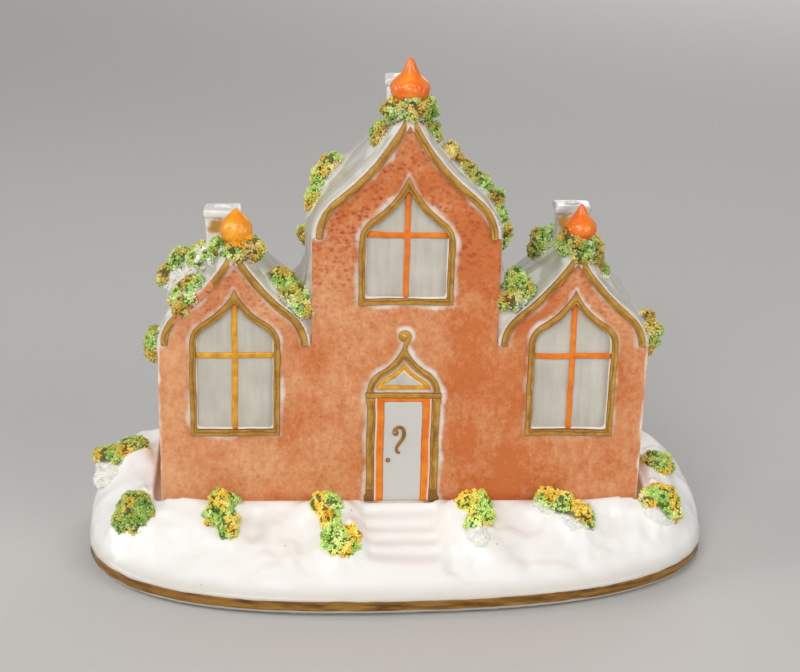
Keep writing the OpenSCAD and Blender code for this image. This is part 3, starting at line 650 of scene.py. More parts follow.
def make_front_wall():
    piece = cast_of("front_wall_cast", "front_wall")
    soften(piece, 0.5, 3)
    waver(piece, *WALL_WAVE)
    trims = [(weight, surface_of(*nodes)) for weight, nodes in TRIM]
    bare = []
    gable = []
    thick = []
    for vertex in piece.data.vertices:
        x, y, z = vertex.co / MM
        share = CORNER_BARE * ease(*CORNER_X, abs(x))
        for weight, trim in trims:
            share = max(share, weight * closeness(trim, vertex.co, BARE_REACH))
        bare.append(share)
        on_main = abs(x) < MAIN_HALF_W + 1
        few, many = MAIN_DABS if on_main else WING_DABS
        gable.append(few + (many - few) * ease(*(MAIN_DABS_Z if on_main else WING_DABS_Z), z))
        right = THICK_RIGHT * ease(*THICK_FROM_X, x) * (1 - ease(*THICK_TO_X, x))
        thick.append(right + THICK_TOP * ease(*THICK_TOP_Z, z) - WORN_LEFT * ease(*WORN_X, x))
    mark(piece, "bare", bare)
    mark(piece, "thick", thick)
    mark(piece, "gable", gable)
    settle(piece, SALMON, "house", "salmon_wash", "front_wall")


def stretch_ends(piece, top):
    """Runs the butt ends of side pieces into the front and back walls, so no seam shows."""
    butt = HOUSE_HALF_D - WALL_T
    for vertex in piece.data.vertices:
        if abs(abs(vertex.co.y) - butt * MM) < WELD and vertex.co.z < (top + 0.1) * MM:
            vertex.co.y += math.copysign(BUTT * MM, vertex.co.y)


def make_side_walls():
    for side in ("left", "right"):
        piece = cast_of(side + "_wall_cast", side + "_wall")
        stretch_ends(piece, WING_EAVE)
        soften(piece, 0.6, 3)
        waver(piece, *WALL_WAVE)
        mark(piece, "gable", [SIDE_DABS] * len(piece.data.vertices))
        mark(piece, "thick", [SIDE_THIN] * len(piece.data.vertices))
        settle(piece, SALMON, "house", "salmon_wash", side + "_wall")
    piece = cast_of("back_wall_cast", "back_wall")
    soften(piece, 0.6, 3)
    waver(piece, *WALL_WAVE)
    for vertex in piece.data.vertices:
        gable = "main" if abs(vertex.co.x) < MAIN_HALF_W * MM else "left"
        vertex.co.z -= droop_at(gable, vertex.co) * MM
    settle(piece, CHINA, "house", "white_glaze", "back_wall")


# Roofs: their ridges sag a little to the back, and the valleys are filled with slip

DROOP = 2.5
SAG_LEVELS = {"main": (MAIN_EAVE, 112), "left": (WING_EAVE, 80), "right": (WING_EAVE, 80)}
SAG_Y = (1, HOUSE_HALF_D)
SLIP_REACH = 3.2
SLIP_FADE = (0.1, 0.7)
SLIP_CLOUD = (4, 1)
SLIP_RAGGED = 0.5
EDGE_BARE = 0.8
EDGE_Y = (HOUSE_FRONT + 2, HOUSE_FRONT + 0.6)
RIM_THINNED = 0.75
RIM_Y = (HOUSE_FRONT + 4, HOUSE_FRONT + 0.5)
RIM_UP = (0.05, 0.4)
ROOF_WAVE = (7, 0.15)
CHEEK_BULGE = 1.6
CHEEK_X = (18, 21)
CHEEK_Z = (86, 97)
FILL_ENDS = (1.6 - HOUSE_HALF_D, HOUSE_HALF_D - 0.4)
VALLEY = [
    (21.4, 60), (21.4, 87), (22.4, 87), (22.75, 83.5), (23.3, 79.5), (24.1, 75), (25.2, 71.6),
    (26.8, 69.6), (29, 69.0), (31.5, 69.4), (33, 66), (33, 60),
]


def valley_fill(name, sign):
    """Slip that rounds the valley between a wing's roof and the main block."""
    section = [(sign * x, z) for x, z in VALLEY]
    count = len(section)
    points = [mm(x, y, z) for y in FILL_ENDS for x, z in section]
    faces = [list(range(count)), list(range(2 * count - 1, count - 1, -1))]
    faces += [[i, i + count, (i + 1) % count + count, (i + 1) % count] for i in range(count)]
    mesh = bpy.data.meshes.new(name)
    mesh.from_pydata(points, [], faces)
    fill = bpy.data.objects.new(name, mesh)
    bpy.context.collection.objects.link(fill)
    select_only(fill)
    bpy.ops.object.mode_set(mode="EDIT")
    bpy.ops.mesh.select_all(action="SELECT")
    bpy.ops.mesh.normals_make_consistent(inside=False)
    bpy.ops.object.mode_set(mode="OBJECT")
    return fill


def droop_at(gable, place):
    """How far a roof has sagged at a place, in mm: most along the back of its ridge."""
    x, y, z = place / MM
    return DROOP * ease(*SAG_LEVELS[gable], z) * ease(*SAG_Y, y)


def sag(piece, gable):
    """Lets a ridge droop to the back, thins its rim, and bares the white at the rim and round moss."""
    moss = surface_of(*ROOF_MOSS)
    bare = []
    for vertex, normal in with_normals(piece):
        rim = ease(*RIM_Y, vertex.co.y / MM) * ease(*RIM_UP, normal.z)
        vertex.co -= Vector((normal.x, 0, normal.z)) * RIM_THINNED * rim * MM
        cloud = ripple(vertex.co, *SLIP_CLOUD)
        slip = closeness(moss, vertex.co, SLIP_REACH)
        edge = ease(*EDGE_Y, vertex.co.y / MM + cloud)
        bare.append(max(EDGE_BARE * edge, ease(*SLIP_FADE, slip + SLIP_RAGGED * cloud)))
        vertex.co.z -= droop_at(gable, vertex.co) * MM
    mark(piece, "bare", bare)


def make_roofs():
    piece = cast_of("main_roof_cast", "main_roof", "main_left_cheek", "main_right_cheek")
    stretch_ends(piece, MAIN_EAVE)
    soften(piece, 0.5, 4)
    waver(piece, *ROOF_WAVE)
    for vertex in piece.data.vertices:
        x, y, z = vertex.co / MM
        swell = math.cos(math.pi * y / (2 * HOUSE_HALF_D))
        out = ease(*CHEEK_X, abs(x)) * (1 - ease(*CHEEK_Z, z)) * swell
        vertex.co.x += math.copysign(CHEEK_BULGE * max(out, 0) * MM, x)
    sag(piece, "main")
    settle(piece, ROOF_GREY, "house", "grey_wash", "main_roof", "main_left_cheek", "main_right_cheek")
    for side, sign in (("left", -1), ("right", 1)):
        piece = cast_of(side + "_roof_cast", side + "_roof")
        fill = valley_fill(side + "_valley", sign)
        select_only(piece, fill)
        bpy.ops.object.join()
        soften(piece, 0.5, 5)
        waver(piece, *ROOF_WAVE)
        sag(piece, side)
        settle(piece, ROOF_GREY, "house", "grey_wash", side + "_roof")


# Chimneys: soft square pots with a rolled lip

SMUDGES = {"left": mm(-45.3, -5.4, 86.2), "right": mm(39.2, -5.4, 88)}
SOOT = {"main": 0.25, "left": 0.3, "right": 0.75}
LIP_WORN = {"main": 1.0, "left": 0.4, "right": 0.5}
LIP_ZONE = 5
SMUDGE_REACH = 2.7
SMUDGE_HARD = 2.2
SMUDGE_RAGGED = (1.3, 0.5)
SOOT_CLOUD = (3, 0.8)
CHIMNEY_WAVE = (6, 0.35)


def make_chimneys():
    for name in ("main", "left", "right"):
        node = name + "_chimney"
        piece = cast_of(node + "_cast", node)
        soften(piece, 0.3, 20)
        waver(piece, *CHIMNEY_WAVE)
        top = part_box(node)[1].z / MM
        spot = SMUDGES.get(name)
        smudge = []
        soot_and_door_shade = []
        for vertex in piece.data.vertices:
            reach = 0 if spot is None else 1 - (vertex.co - spot).length / (SMUDGE_REACH * MM)
            rough = ripple(vertex.co, *SMUDGE_RAGGED)
            smudge.append(clamp((reach + rough) * SMUDGE_HARD) if reach > 0 else 0)
            soot_and_door_shade.append(clamp(0.5 + ripple(vertex.co, *SOOT_CLOUD)) * SOOT[name])
            vertex.co.z -= LIP_WORN[name] * ease(top - LIP_ZONE, top, vertex.co.z / MM) * MM
        mark(piece, "smudge", smudge)
        mark(piece, "soot_and_door_shade", soot_and_door_shade)
        settle(piece, CHINA, "house", "white_glaze", node)


# Finials: onion knobs turned from one profile each, as heights over the ridge and radii in mm

ONION = [
    (-3, 2.4), (-1.2, 2.5), (0.2, 2.7), (1.1, 3.3), (1.65, 3.92), (2.35, 4.5), (3.2, 4.72), (4, 4.66),
    (4.7, 4.4), (5.3, 3.95), (5.9, 3.35), (6.6, 2.6), (7.5, 1.95), (8.6, 1.38), (9.6, 0.95), (10.3, 0.62),
    (10.65, 0.3), (10.75, 0),
]
TEARDROP = [
    (-3, 2.4), (-1.4, 2.8), (0.3, 3.35), (1.3, 3.68), (2.1, 3.85), (2.8, 3.92), (3.5, 3.76), (4.3, 3.45),
    (5, 3.07), (5.8, 2.35), (6.5, 1.68), (7.1, 1.15), (7.6, 0.6), (7.9, 0.3), (8, 0),
]
SMALL_ONION = [
    (-3, 2.4), (-1.2, 2.5), (0.5, 2.7), (1.5, 3.1), (2.2, 3.5), (2.8, 3.8), (3.4, 3.93), (4.1, 3.82),
    (4.8, 3.55), (5.4, 3.1), (6, 2.55), (6.7, 2), (7.5, 1.42), (8.3, 1.02), (9, 0.6), (9.4, 0.32), (9.6, 0),
]
MAIN_RIDGE = 118.5
WING_RIDGE = 84.9
PETAL_TURN = 0.26
PETAL_FOOT = 0.8
PETAL_RISE = 4.2
PETAL_LINE = 0.13
PETAL_INNER = 0.6
INNER_DEPTH = 0.6
KNOB_SWIRL = 0.02


def radius_at(profile, share):
    """Height and radius on a profile, softly between its points."""
    place = share * (len(profile) - 1)
    i = min(int(place), len(profile) - 2)
    t = place - i
    before = profile[max(i - 1, 0)]
    after = profile[min(i + 2, len(profile) - 1)]
    result = []
    for axis in (0, 1):
        a, b, c, d = before[axis], profile[i][axis], profile[i + 1][axis], after[axis]
        value = b + 0.5 * t * (c - a + t * (2 * a - 5 * b + 4 * c - d + t * (3 * (b - c) + d - a)))
        result.append(value)
    return result[0], max(result[1], 0)


def petal_cut(bearing, height, petals):
    """How deep the outlines of the moulded petals are cut at a place on a knob, from 0 to 1."""
    turn = (bearing / (2 * math.pi) + PETAL_TURN) * petals
    off = 2 * (turn - round(turn))
    reach = math.hypot(off, max(height - PETAL_FOOT, 0) / PETAL_RISE)
    outer = math.exp(-((reach - 1) / PETAL_LINE) ** 2)
    inner = math.exp(-((reach - PETAL_INNER) / PETAL_LINE) ** 2)
    return outer + INNER_DEPTH * inner


def turn_finial(node, profile, ridge, petals, depth, material, slot):
    """One knob turned from its profile over the ridge, with petals moulded to a depth in mm."""
    lo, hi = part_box(node)
    centre = (lo + hi) / 2
    foot = Vector((centre.x, centre.y, ridge * MM))
    bpy.ops.object.select_all(action="DESELECT")
    bpy.ops.mesh.primitive_uv_sphere_add(segments=120, ring_count=72, radius=1)
    piece = bpy.context.object
    piece.name = node + "_knob"
    for vertex in piece.data.vertices:
        x, y, z = vertex.co
        share = 1 - math.acos(clamp(z, -1, 1)) / math.pi
        height, radius = radius_at(profile, share)
        bearing = math.atan2(y, x)
        swirl = noise.noise(Vector((x * 2, y * 2, height / 2)))
        radius = radius * (1 + KNOB_SWIRL * swirl) - depth * petal_cut(bearing, height, petals)
        radius = max(radius, 0) if share > 0 else 0
        flat = Vector((math.cos(bearing), math.sin(bearing), 0)) * radius
        vertex.co = foot + (flat + Vector((0, 0, height))) * MM
    settle(piece, material, "house", slot, node)


def make_finials():
    turn_finial("main_finial", ONION, MAIN_RIDGE, 6, 0.19, FINIAL_ORANGE, "orange_enamel")
    turn_finial("left_finial", TEARDROP, WING_RIDGE, 6, 0.06, FINIAL_YELLOW, "yellow_enamel")
    turn_finial("right_finial", SMALL_ONION, WING_RIDGE, 6, 0.09, FINIAL_ORANGE, "orange_enamel")


# Trim: gilded bargeboards and frames, enamelled bars, all a little unsteady from the brush

RIB_HALF = 0.8
RIB_SIDE = 0.3
PLINTH_TOP = 21.6
PLINTH_BROWN = 0.97
PAINTED_OVER = (-55.5, -46)
PAINTED_RAGGED = (3, 0.6)
SWELL = {"left_glazing_bars": 0.14, "main_glazing_bars": 0.1, "right_glazing_bars": 0.1}
BOARD_GAPS = {"main_bargeboard": 0, "left_bargeboard": -41, "right_bargeboard": 41}
BOARD_GAP_X = (0.6, 1.1)
ARCHITRAVE_GAP = (0.3, 0.55)
DOOR_PAINTED_SHADE = 0.42
BEAD_WAVE = 9
BEAD_TREMBLE = (2.5, 0.07)

# Rows of nodes, material, slot, and the size of faces and reach of the brush in mm
BEADS = [
    (("main_bargeboard", "left_bargeboard", "right_bargeboard", "main_window_frame", "left_window_frame",
      "right_window_frame", "door_columns", "door_cornice", "door_hood"), GOLD, "gilding", 0.2, 0.22),
    (("main_glazing_bars", "right_glazing_bars", "door_architrave"), ORANGE, "orange_enamel", 0.16, 0.25),
    (("left_glazing_bars", "fanlight_frame"), YELLOW, "yellow_enamel", 0.16, 0.25),
    (("door_leaf",), CHINA, "white_glaze", 0.2, 0.1),
]
PANES = [
    ("main_window_pane", "main_window_frame"), ("left_window_pane", "left_window_frame"),
    ("right_window_pane", "right_window_frame"), ("fanlight_pane", "fanlight_frame"),
]


def make_trim():
    for nodes, material, slot, grain, reach in BEADS:
        for node in nodes:
            make_bead(node, material, slot, grain, reach)
    for node, rim in PANES:
        make_pane(node, rim)


def make_pane(node, rim):
    piece = cast_of(node + "_glazed", node)
    soften(piece, 0.25, 1)
    edge = surface_of(rim)
    mark(piece, "bare", [closeness(edge, v.co, BARE_REACH) for v in piece.data.vertices])
    settle(piece, PANE_GREY, "house", "pane_grey", node)


def sides_of(node):
    """A search tree over the faces of a rib that stand out from the wall."""
    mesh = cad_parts[node].data
    faces = [list(p.vertices) for p in mesh.polygons if abs(p.normal.y) < RIB_SIDE]
    return BVHTree.FromPolygons([v.co.copy() for v in mesh.vertices], faces)


def mark_across(piece, node, half):
    """Stores where each point lies across a rib: -1 at its inner edge, 1 at its outer edge."""
    lo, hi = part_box(node)
    middle = (lo + hi) / 2
    sides = sides_of(node)
    across = []
    for vertex in piece.data.vertices:
        place, normal, face, gap = sides.find_nearest(vertex.co)
        outward = place - middle
        side = 1 if normal.x * outward.x + normal.z * outward.z > 0 else -1
        value = side * max(0, 1 - gap / (half * MM))
        if node == "door_columns" and vertex.co.z < PLINTH_TOP * MM:
            value = PLINTH_BROWN
        across.append(value)
    mark(piece, "across", across)


def make_bead(node, material, slot, grain, reach):
    """One rib or leaf of the trim, softened and drawn with an unsteady hand."""
    piece = cast_of(node + "_bead", node)
    soften(piece, grain, 3)
    if node in SWELL:
        for vertex, normal in with_normals(piece):
            vertex.co += normal * SWELL[node] * MM
    # Painted shade: the door leaf's glaze is greyed evenly
    if node == "door_leaf":
        mark(piece, "soot_and_door_shade", [DOOR_PAINTED_SHADE] * len(piece.data.vertices))
    if node == "door_architrave":
        gold = surface_of("door_columns")
        gaps = [gold.find_nearest(v.co)[3] / MM for v in piece.data.vertices]
        mark(piece, "bare", [1 - ease(*ARCHITRAVE_GAP, gap) for gap in gaps])
    if material is GOLD:
        mark_across(piece, node, RIB_HALF)
    waver(piece, BEAD_WAVE, reach)
    waver(piece, *BEAD_TREMBLE)
    settle(piece, material, "house", slot, node)
    if node in BOARD_GAPS:
        ends = [abs(v.co.x / MM - BOARD_GAPS[node]) for v in piece.data.vertices]
        mark(piece, "bare", [1 - ease(*BOARD_GAP_X, end) for end in ends])
    if node == "left_bargeboard":
        piece.data.materials.append(SALMON)
        mark(piece, "gable", [1.0] * len(piece.data.vertices))
        for face in piece.data.polygons:
            x = face.center.x / MM + ripple(face.center, *PAINTED_RAGGED)
            if PAINTED_OVER[0] < x < PAINTED_OVER[1]:
                face.material_index = 1


# Scrolls drawn in gold: the door's handle with its stud, and the curl on the hood

HANDLE = [
    (-1.35, 36.35, 0.5), (-1.95, 36.3, 0.52), (-2.05, 37.2, 0.46), (-1.6, 38.0, 0.42), (-0.75, 38.25, 0.42),
    (0.1, 37.8, 0.44), (0.45, 36.8, 0.48), (0.35, 35.8, 0.5), (-0.1, 34.8, 0.48), (-0.8, 33.8, 0.44),
    (-1.4, 32.8, 0.4), (-1.5, 31.9, 0.38), (-1.1, 31.3, 0.36), (-0.5, 31.3, 0.34),
]
HANDLE_BALLS = [(-1.75, 36.65, 0.78), (-3.44, 29.3, 0.6)]
CURL = [
    (0.05, 58.6, 0.6), (0.1, 59.8, 0.6), (0.6, 60.7, 0.65), (1.0, 61.6, 0.7), (0.9, 62.6, 0.7),
    (0.0, 63.1, 0.65), (-0.95, 62.7, 0.65), (-1.1, 61.8, 0.65), (-0.4, 61.3, 0.6),
]
CURL_BALLS = [(-0.15, 62.1, 0.95)]


def make_scroll(name, node, path, balls, depth, brown):
    """A round-edged stroke along points of x, z and radius, with balls where it ends."""
    data = bpy.data.curves.new(name, "CURVE")
    data.dimensions = "3D"
    data.bevel_depth = 1.0
    data.bevel_resolution = 3
    data.use_fill_caps = True
    line = data.splines.new("NURBS")
    line.points.add(len(path) - 1)
    for point, (x, z, radius) in zip(line.points, path):
        point.co = (*mm(x, HOUSE_FRONT - depth, z), 1)
        point.radius = radius * MM
    line.use_endpoint_u = True
    line.order_u = 3
    line.resolution_u = 6
    piece = bpy.data.objects.new(name, data)
    bpy.context.collection.objects.link(piece)
    select_only(piece)
    bpy.ops.object.convert(target="MESH")
    piece = bpy.context.object
    for x, z, radius in balls:
        join_ball(piece, (x, HOUSE_FRONT - depth, z), radius, 20)
    soften(piece, 0.1, 2)
    mark(piece, "across", [brown] * len(piece.data.vertices))
    settle(piece, GOLD, "house", "gilding", node)


def make_scrolls():
    make_scroll("scroll_handle", "door_handle", HANDLE, HANDLE_BALLS, 0.45, 0.92)
    make_scroll("hood_curl", "door_hood_knob", CURL, CURL_BALLS, 0.55, 0.55)


# Clay moss: a lumpy core set with florets of short strands, as pressed through a sieve

# Colours from light to dark, then shares of colour: painted shade on the core, on strand roots and on pale
# strand roots, and a painted highlight at strand tips
GREENS = [paint(c) for c in ("#dcea98", "#acce66", "#7aa540", "#40611e")]
ROOF_OCHRES = [paint(c) for c in ("#eedd88", "#d2b24c", "#ab8229", "#624a14")]
BASE_OCHRES = [paint(c) for c in ("#f6e27c", "#eac746", "#c89b2a", "#745413")]
SLIP_WHITE = paint("#f1efe8")
CORE_PAINTED_SHADE = 0.2
ROOT_PAINTED_SHADE = 0.24
PALE_ROOT_PAINTED_SHADE = 0.8
TIP_PAINTED_HIGHLIGHT = 1.15

# Florets and their strands, in mm and shares
STRAND_SIDES = 5
STRAND_RINGS = [(0.0, 0.7), (0.6, 1.0), (1.0, 0.6)]
FLORET_STRANDS = 5
FLORETS_PER_MM2 = 1.15
FLORET_LEAN = 0.4
FLORET_SUNK = 0.5
FLORET_BURIED = -0.2
STRAND_SPREAD = (0.6, 1.15)
STRAND_SWAY = 0.4
STRAND_LENGTH = (0.75, 1.15)
STRAND_WIDTH = (0.28, 0.4)
STRAND_BEND = 0.4
STRAND_LEVEL = (0.84, 1.1)
PALE_LIMIT = 0.6
PALE_BALD = 0.85

# Patches of colour and tones: size in mm and swing, and how far chance moves them
PATCHES = (4.4, 1)
PATCH_CHANCE = 0.1
TONE_MIDDLE = 0.34
TONES = (2.2, 0.55)
TONE_CHANCE = 0.2
BORDER_HALF = 0.09
BORDER_MIX = 0.45

# Cores: lumps as size and height in mm, and roots that run onto the support
CORE_SHRUNK = 0.4
CORE_LUMPS = (2, 0.9)
CORE_SWELLS = (5, 0.6)
PALE_CALM = 0.6
CORE_LOW = (-0.2, 0.4)
ROOT_RUN = 1.6
ROOT_SUNK = 0.4
ROOT_FADE = (0.3, 1)
SUPPORT_REACH = 4.0

# White slip: heights over the support in mm between which it gives way to colour
DRIFT = (3, 0.9)
BASE_ROOT_H = (0.2, 1.2)
ROOF_ROOT_H = (-0.2, 0.8)
ROOF_ROOT_PALE = 0.8
UNDER_FADE = (-0.5, 0.5)
CHAIN_X = -46.5
CHAIN_SLIP_H = (1.7, 2.4)
WHITE_UNDER = {
    "base_moss_right_window": (Vector((0.45, 0.5, 0.74)), 19.0),
    "base_moss_right_corner": (Vector((0.45, 0.5, 0.74)), 31.3),
    "base_moss_left_rear": (Vector((0, 0.3, 0.95)), 19.3),
    "base_moss_right_steps": (Vector((0, 0.6, 0.8)), -3.6),
}

# Enamel that ran down from the left finial over its moss
RUN_NODE = "left_finial_moss"
RUN_ORANGE = paint("#f0a21c")
RUN_HEART = mm(-40.5, -16.6, 86)
RUN_SPAN = mm(4.6, 3.6, 1.5)
RUN_RAGGED = (1.6, 0.7)

# Rings of moss under the finials: middle, lift in front, lift at the sides, and share of width kept
RINGS = {
    "main_finial_moss": (0, 1.0, 0.8, 0.87), "left_finial_moss": (-40.4, 1.9, -0.8, 1),
    "right_finial_moss": (41.6, 2.4, -0.2, 0.88),
}
RING_Y = -12.6
RING_REACH = (6.5, 10)
RING_FRONT_Y = (RING_Y + 0.5, RING_Y - 3.5)
RING_TRIM = {"left_finial_moss": (-42.6, 84.6)}
RING_TRIMMED = 0.8

# Border between green and ochre, and lightness, of each clump that differs from the plain ones
CLUMP_PAINT = {
    "base_moss_left_window": (-0.06, 1.15), "base_moss_left_corner": (0.16, 0.88),
    "base_moss_left_steps": (0.1, 1.3), "base_moss_right_steps": (-0.13, 1.35),
    "base_moss_right_window": (0.12, 1.15), "base_moss_right_corner": (0.04, 1.15),
    "main_left_moss": (-0.1, 1.25), "main_right_moss": (0.04, 0.98), "left_valley_moss": (-0.18, 1.15),
    "right_finial_moss": (-0.12, 0.9), "left_finial_moss": (0.08, 1.1),
}
PLAIN_PAINT = (0.06, 1.0)

# Clumps set a little aside, and lumps that join or fill them, as x, y, z and radius
MOVED = {"right_valley_moss": mm(-2.0, -7.2, 1.2), "base_moss_left_corner": mm(1.0, 0, 0)}
ADDED_LUMPS = {
    "left_valley_moss": [(-26.4, -13.4, 71.2, 3.3), (-25.2, -15.2, 68.6, 2.3)],
    "right_valley_moss": [(28.2, -7.2, 69.8, 3), (28.3, -5.8, 75, 2.6), (31, -6.3, 71.8, 2.4)],
    "right_finial_moss": [(40.8, -16.6, 82.8, 2.4)],
    "left_slope_moss": [(-53.8, -15.6, 69.4, 2.9), (-51.3, -15.2, 71.7, 2.6), (-49.3, -14.4, 74.2, 2.3)],
    "left_finial_moss": [
        (-50.6, 0.5, 75.2, 2.9), (-48.9, -4.8, 77, 2.5), (-46.6, -7.6, 79.3, 2.5), (-44.6, -9, 81.3, 2.2),
    ],
    "base_moss_left_window": [(-41.4, -20, 20.2, 2), (-47.2, -22.6, 18, 2), (-47, -24.6, 16.2, 1.5)],
    "base_moss_right_window": [(40.6, -20.6, 20.3, 2.5), (45.7, -25.2, 15.8, 1.9)],
    "base_moss_right_steps": [(19.2, -25, 17.2, 3.6), (18.7, -29.4, 13.6, 3.3)],
    "base_moss_left_rear": [(-75.8, 1.2, 16, 2.7), (-73, 0.8, 18.2, 2.6), (-70, 1.5, 20.2, 2.5)],
}


def moss_tint(node, place, seed, ochres):
    """Colour of one floret: green or ochre by patches, lighter or darker by chance and by clump."""
    border, light = CLUMP_PAINT.get(node, PLAIN_PAINT)
    patch = ripple(place, *PATCHES, seed) + draw.uniform(-PATCH_CHANCE, PATCH_CHANCE)
    tone = TONE_MIDDLE + ripple(place, *TONES, -seed) + draw.uniform(-TONE_CHANCE, TONE_CHANCE)
    family = ochres if patch > border else GREENS
    step = clamp(tone * 3, 0, 2.999)
    i = int(step)
    colour = blend(family[i], family[i + 1], step - i)
    if abs(patch - border) < BORDER_HALF:
        colour = blend(colour, GREENS[1] if family is ochres else ochres[1], BORDER_MIX)
    return [light * c for c in colour]


def add_strand(points, faces, tints, heart, along, size, colour, shade):
    """One short bent strand from its root: size is its length, width and bend in mm. Its colour runs from
    painted shade at the root to a painted highlight at the tip.
    """
    length, width, bend = size
    side = along.orthogonal().normalized()
    side = Matrix.Rotation(draw.uniform(0, 2 * math.pi), 3, along) @ side
    other = along.cross(side)
    first = len(points)
    for height, girth in STRAND_RINGS:
        middle = heart + (along * height + side * bend * height * height) * length * MM
        tone = blend([shade * c for c in colour], [TIP_PAINTED_HIGHLIGHT * c for c in colour], height)
        for i in range(STRAND_SIDES):
            a = 2 * math.pi * i / STRAND_SIDES
            points.append(middle + (side * math.cos(a) + other * math.sin(a)) * girth * width * MM)
            tints.append(tone)
    for ring in range(len(STRAND_RINGS) - 1):
        low = first + ring * STRAND_SIDES
        for i in range(STRAND_SIDES):
            j = (i + 1) % STRAND_SIDES
            faces.append((low + i, low + j, low + j + STRAND_SIDES, low + i + STRAND_SIDES))
    last = first + (len(STRAND_RINGS) - 1) * STRAND_SIDES
    faces.append(tuple(last + i for i in range(STRAND_SIDES)))
    faces.append(tuple(first + i for i in reversed(range(STRAND_SIDES))))


def colour_points(mesh, tints):
    layer = mesh.attributes.new("tint", "FLOAT_COLOR", "POINT")
    layer.data.foreach_set("color", [c for tint in tints for c in (*tint[:3], 1)])


def lift_ring(node, place):
    """Lifts the ring of moss under a finial to its knob, and draws it in."""
    middle, front, sides, squeeze = RINGS[node]
    away = math.hypot(place.x / MM - middle, place.y / MM - RING_Y)
    ring = 1 - ease(*RING_REACH, away)
    lift = sides + (front - sides) * ease(*RING_FRONT_Y, place.y / MM)
    place.z += lift * ring * MM
    place.x += (middle * MM - place.x) * (1 - squeeze) * ring
    if node in RING_TRIM:
        left_of, level = RING_TRIM[node]
        over = place.z - level * MM
        if over > 0 and place.x < left_of * MM:
            place.z -= RING_TRIMMED * over


def make_core(node, seed, body, support):
    """The clump's lumpy body, a little smaller than its solid, with its roots run onto its support."""
    piece = cast_of(node + "_strands", node)
    for x, y, z, radius in ADDED_LUMPS.get(node, []):
        join_ball(piece, (x, y, z), radius, 24)
    soften(piece, 0.55, 2)
    gable = node.split("_")[0]
    for vertex, normal in with_normals(piece):
        if node in RINGS:
            lift_ring(node, vertex.co)
        vertex.co += MOVED.get(node, Vector((0, 0, 0)))
        lump = ripple(vertex.co, *CORE_LUMPS, seed) + ripple(vertex.co, *CORE_SWELLS, -seed)
        depth = depth_in(support, vertex.co)
        pale = whiteness(node, body, vertex.co, depth)
        vertex.co += normal * (lump * (1 - PALE_CALM * pale) - CORE_SHRUNK) * MM
        low = 1 - ease(*CORE_LOW, normal.z)
        near = support.find_nearest(vertex.co, ROOT_RUN * MM)
        if near[0] is not None and depth > -ROOT_SUNK:
            root = 1 - ease(*ROOT_FADE, depth / ROOT_RUN)
            vertex.co -= near[1] * (depth + ROOT_SUNK) * root * MM
            low = max(low, root)
        if gable in SAG_LEVELS:
            vertex.co.z -= droop_at(gable, vertex.co) * low * MM
        hold_in_box(vertex.co)
    piece.data.update()
    return piece


def whiteness(node, body, place, depth):
    """How far the glaze leaves moss white: at its roots, and where the glaze ran short."""
    drift = ripple(place, *DRIFT)
    if body == "base":
        pale = 1 - ease(*BASE_ROOT_H, depth + drift)
    elif node == RUN_NODE and place.x < CHAIN_X * MM:
        pale = 1 - ease(*CHAIN_SLIP_H, depth + drift)
    else:
        pale = ROOF_ROOT_PALE * (1 - ease(*ROOF_ROOT_H, depth + drift))
    if node in WHITE_UNDER:
        upward, level = WHITE_UNDER[node]
        pale = max(pale, ease(*UNDER_FADE, level - place.dot(upward) / MM + drift))
    return pale


def depth_in(support, place):
    """How far a place stands over its support in mm, up to the reach of the search."""
    near = support.find_nearest(place, SUPPORT_REACH * MM)
    return SUPPORT_REACH if near[0] is None else (place - near[0]).dot(near[1]) / MM


def in_run(place):
    """Whether the finial's enamel has run down over the moss here."""
    off = [(a - b) / c for a, b, c in zip(place, RUN_HEART, RUN_SPAN)]
    return Vector(off).length < 1 + ripple(place, *RUN_RAGGED)


def under_house(place):
    """Whether a place on the base is where the house comes down."""
    return abs(place.x) < (HOUSE_HALF_W + 1) * MM and place.y > (HOUSE_FRONT - 1) * MM


def grow_floret(tufts, place, normal, colour, shade):
    """A floret of short strands that lean out from one root."""
    lean = Vector((draw.uniform(-1, 1), draw.uniform(-1, 1), draw.uniform(-1, 1))) * FLORET_LEAN
    axis = (normal + lean).normalized()
    side = axis.orthogonal().normalized()
    other = axis.cross(side)
    heart = place - normal * FLORET_SUNK * MM
    turn = draw.uniform(0, 2 * math.pi)
    for i in range(FLORET_STRANDS):
        spread = 0 if i == 0 else draw.uniform(*STRAND_SPREAD)
        a = turn + 2 * math.pi * i / (FLORET_STRANDS - 1) + draw.uniform(-STRAND_SWAY, STRAND_SWAY)
        along = (axis + (side * math.cos(a) + other * math.sin(a)) * spread).normalized()
        length = draw.uniform(*STRAND_LENGTH)
        width = draw.uniform(*STRAND_WIDTH)
        bend = draw.uniform(-STRAND_BEND, STRAND_BEND)
        level = draw.uniform(*STRAND_LEVEL)
        add_strand(*tufts, heart, along, (length, width, bend), [level * c for c in colour], shade)


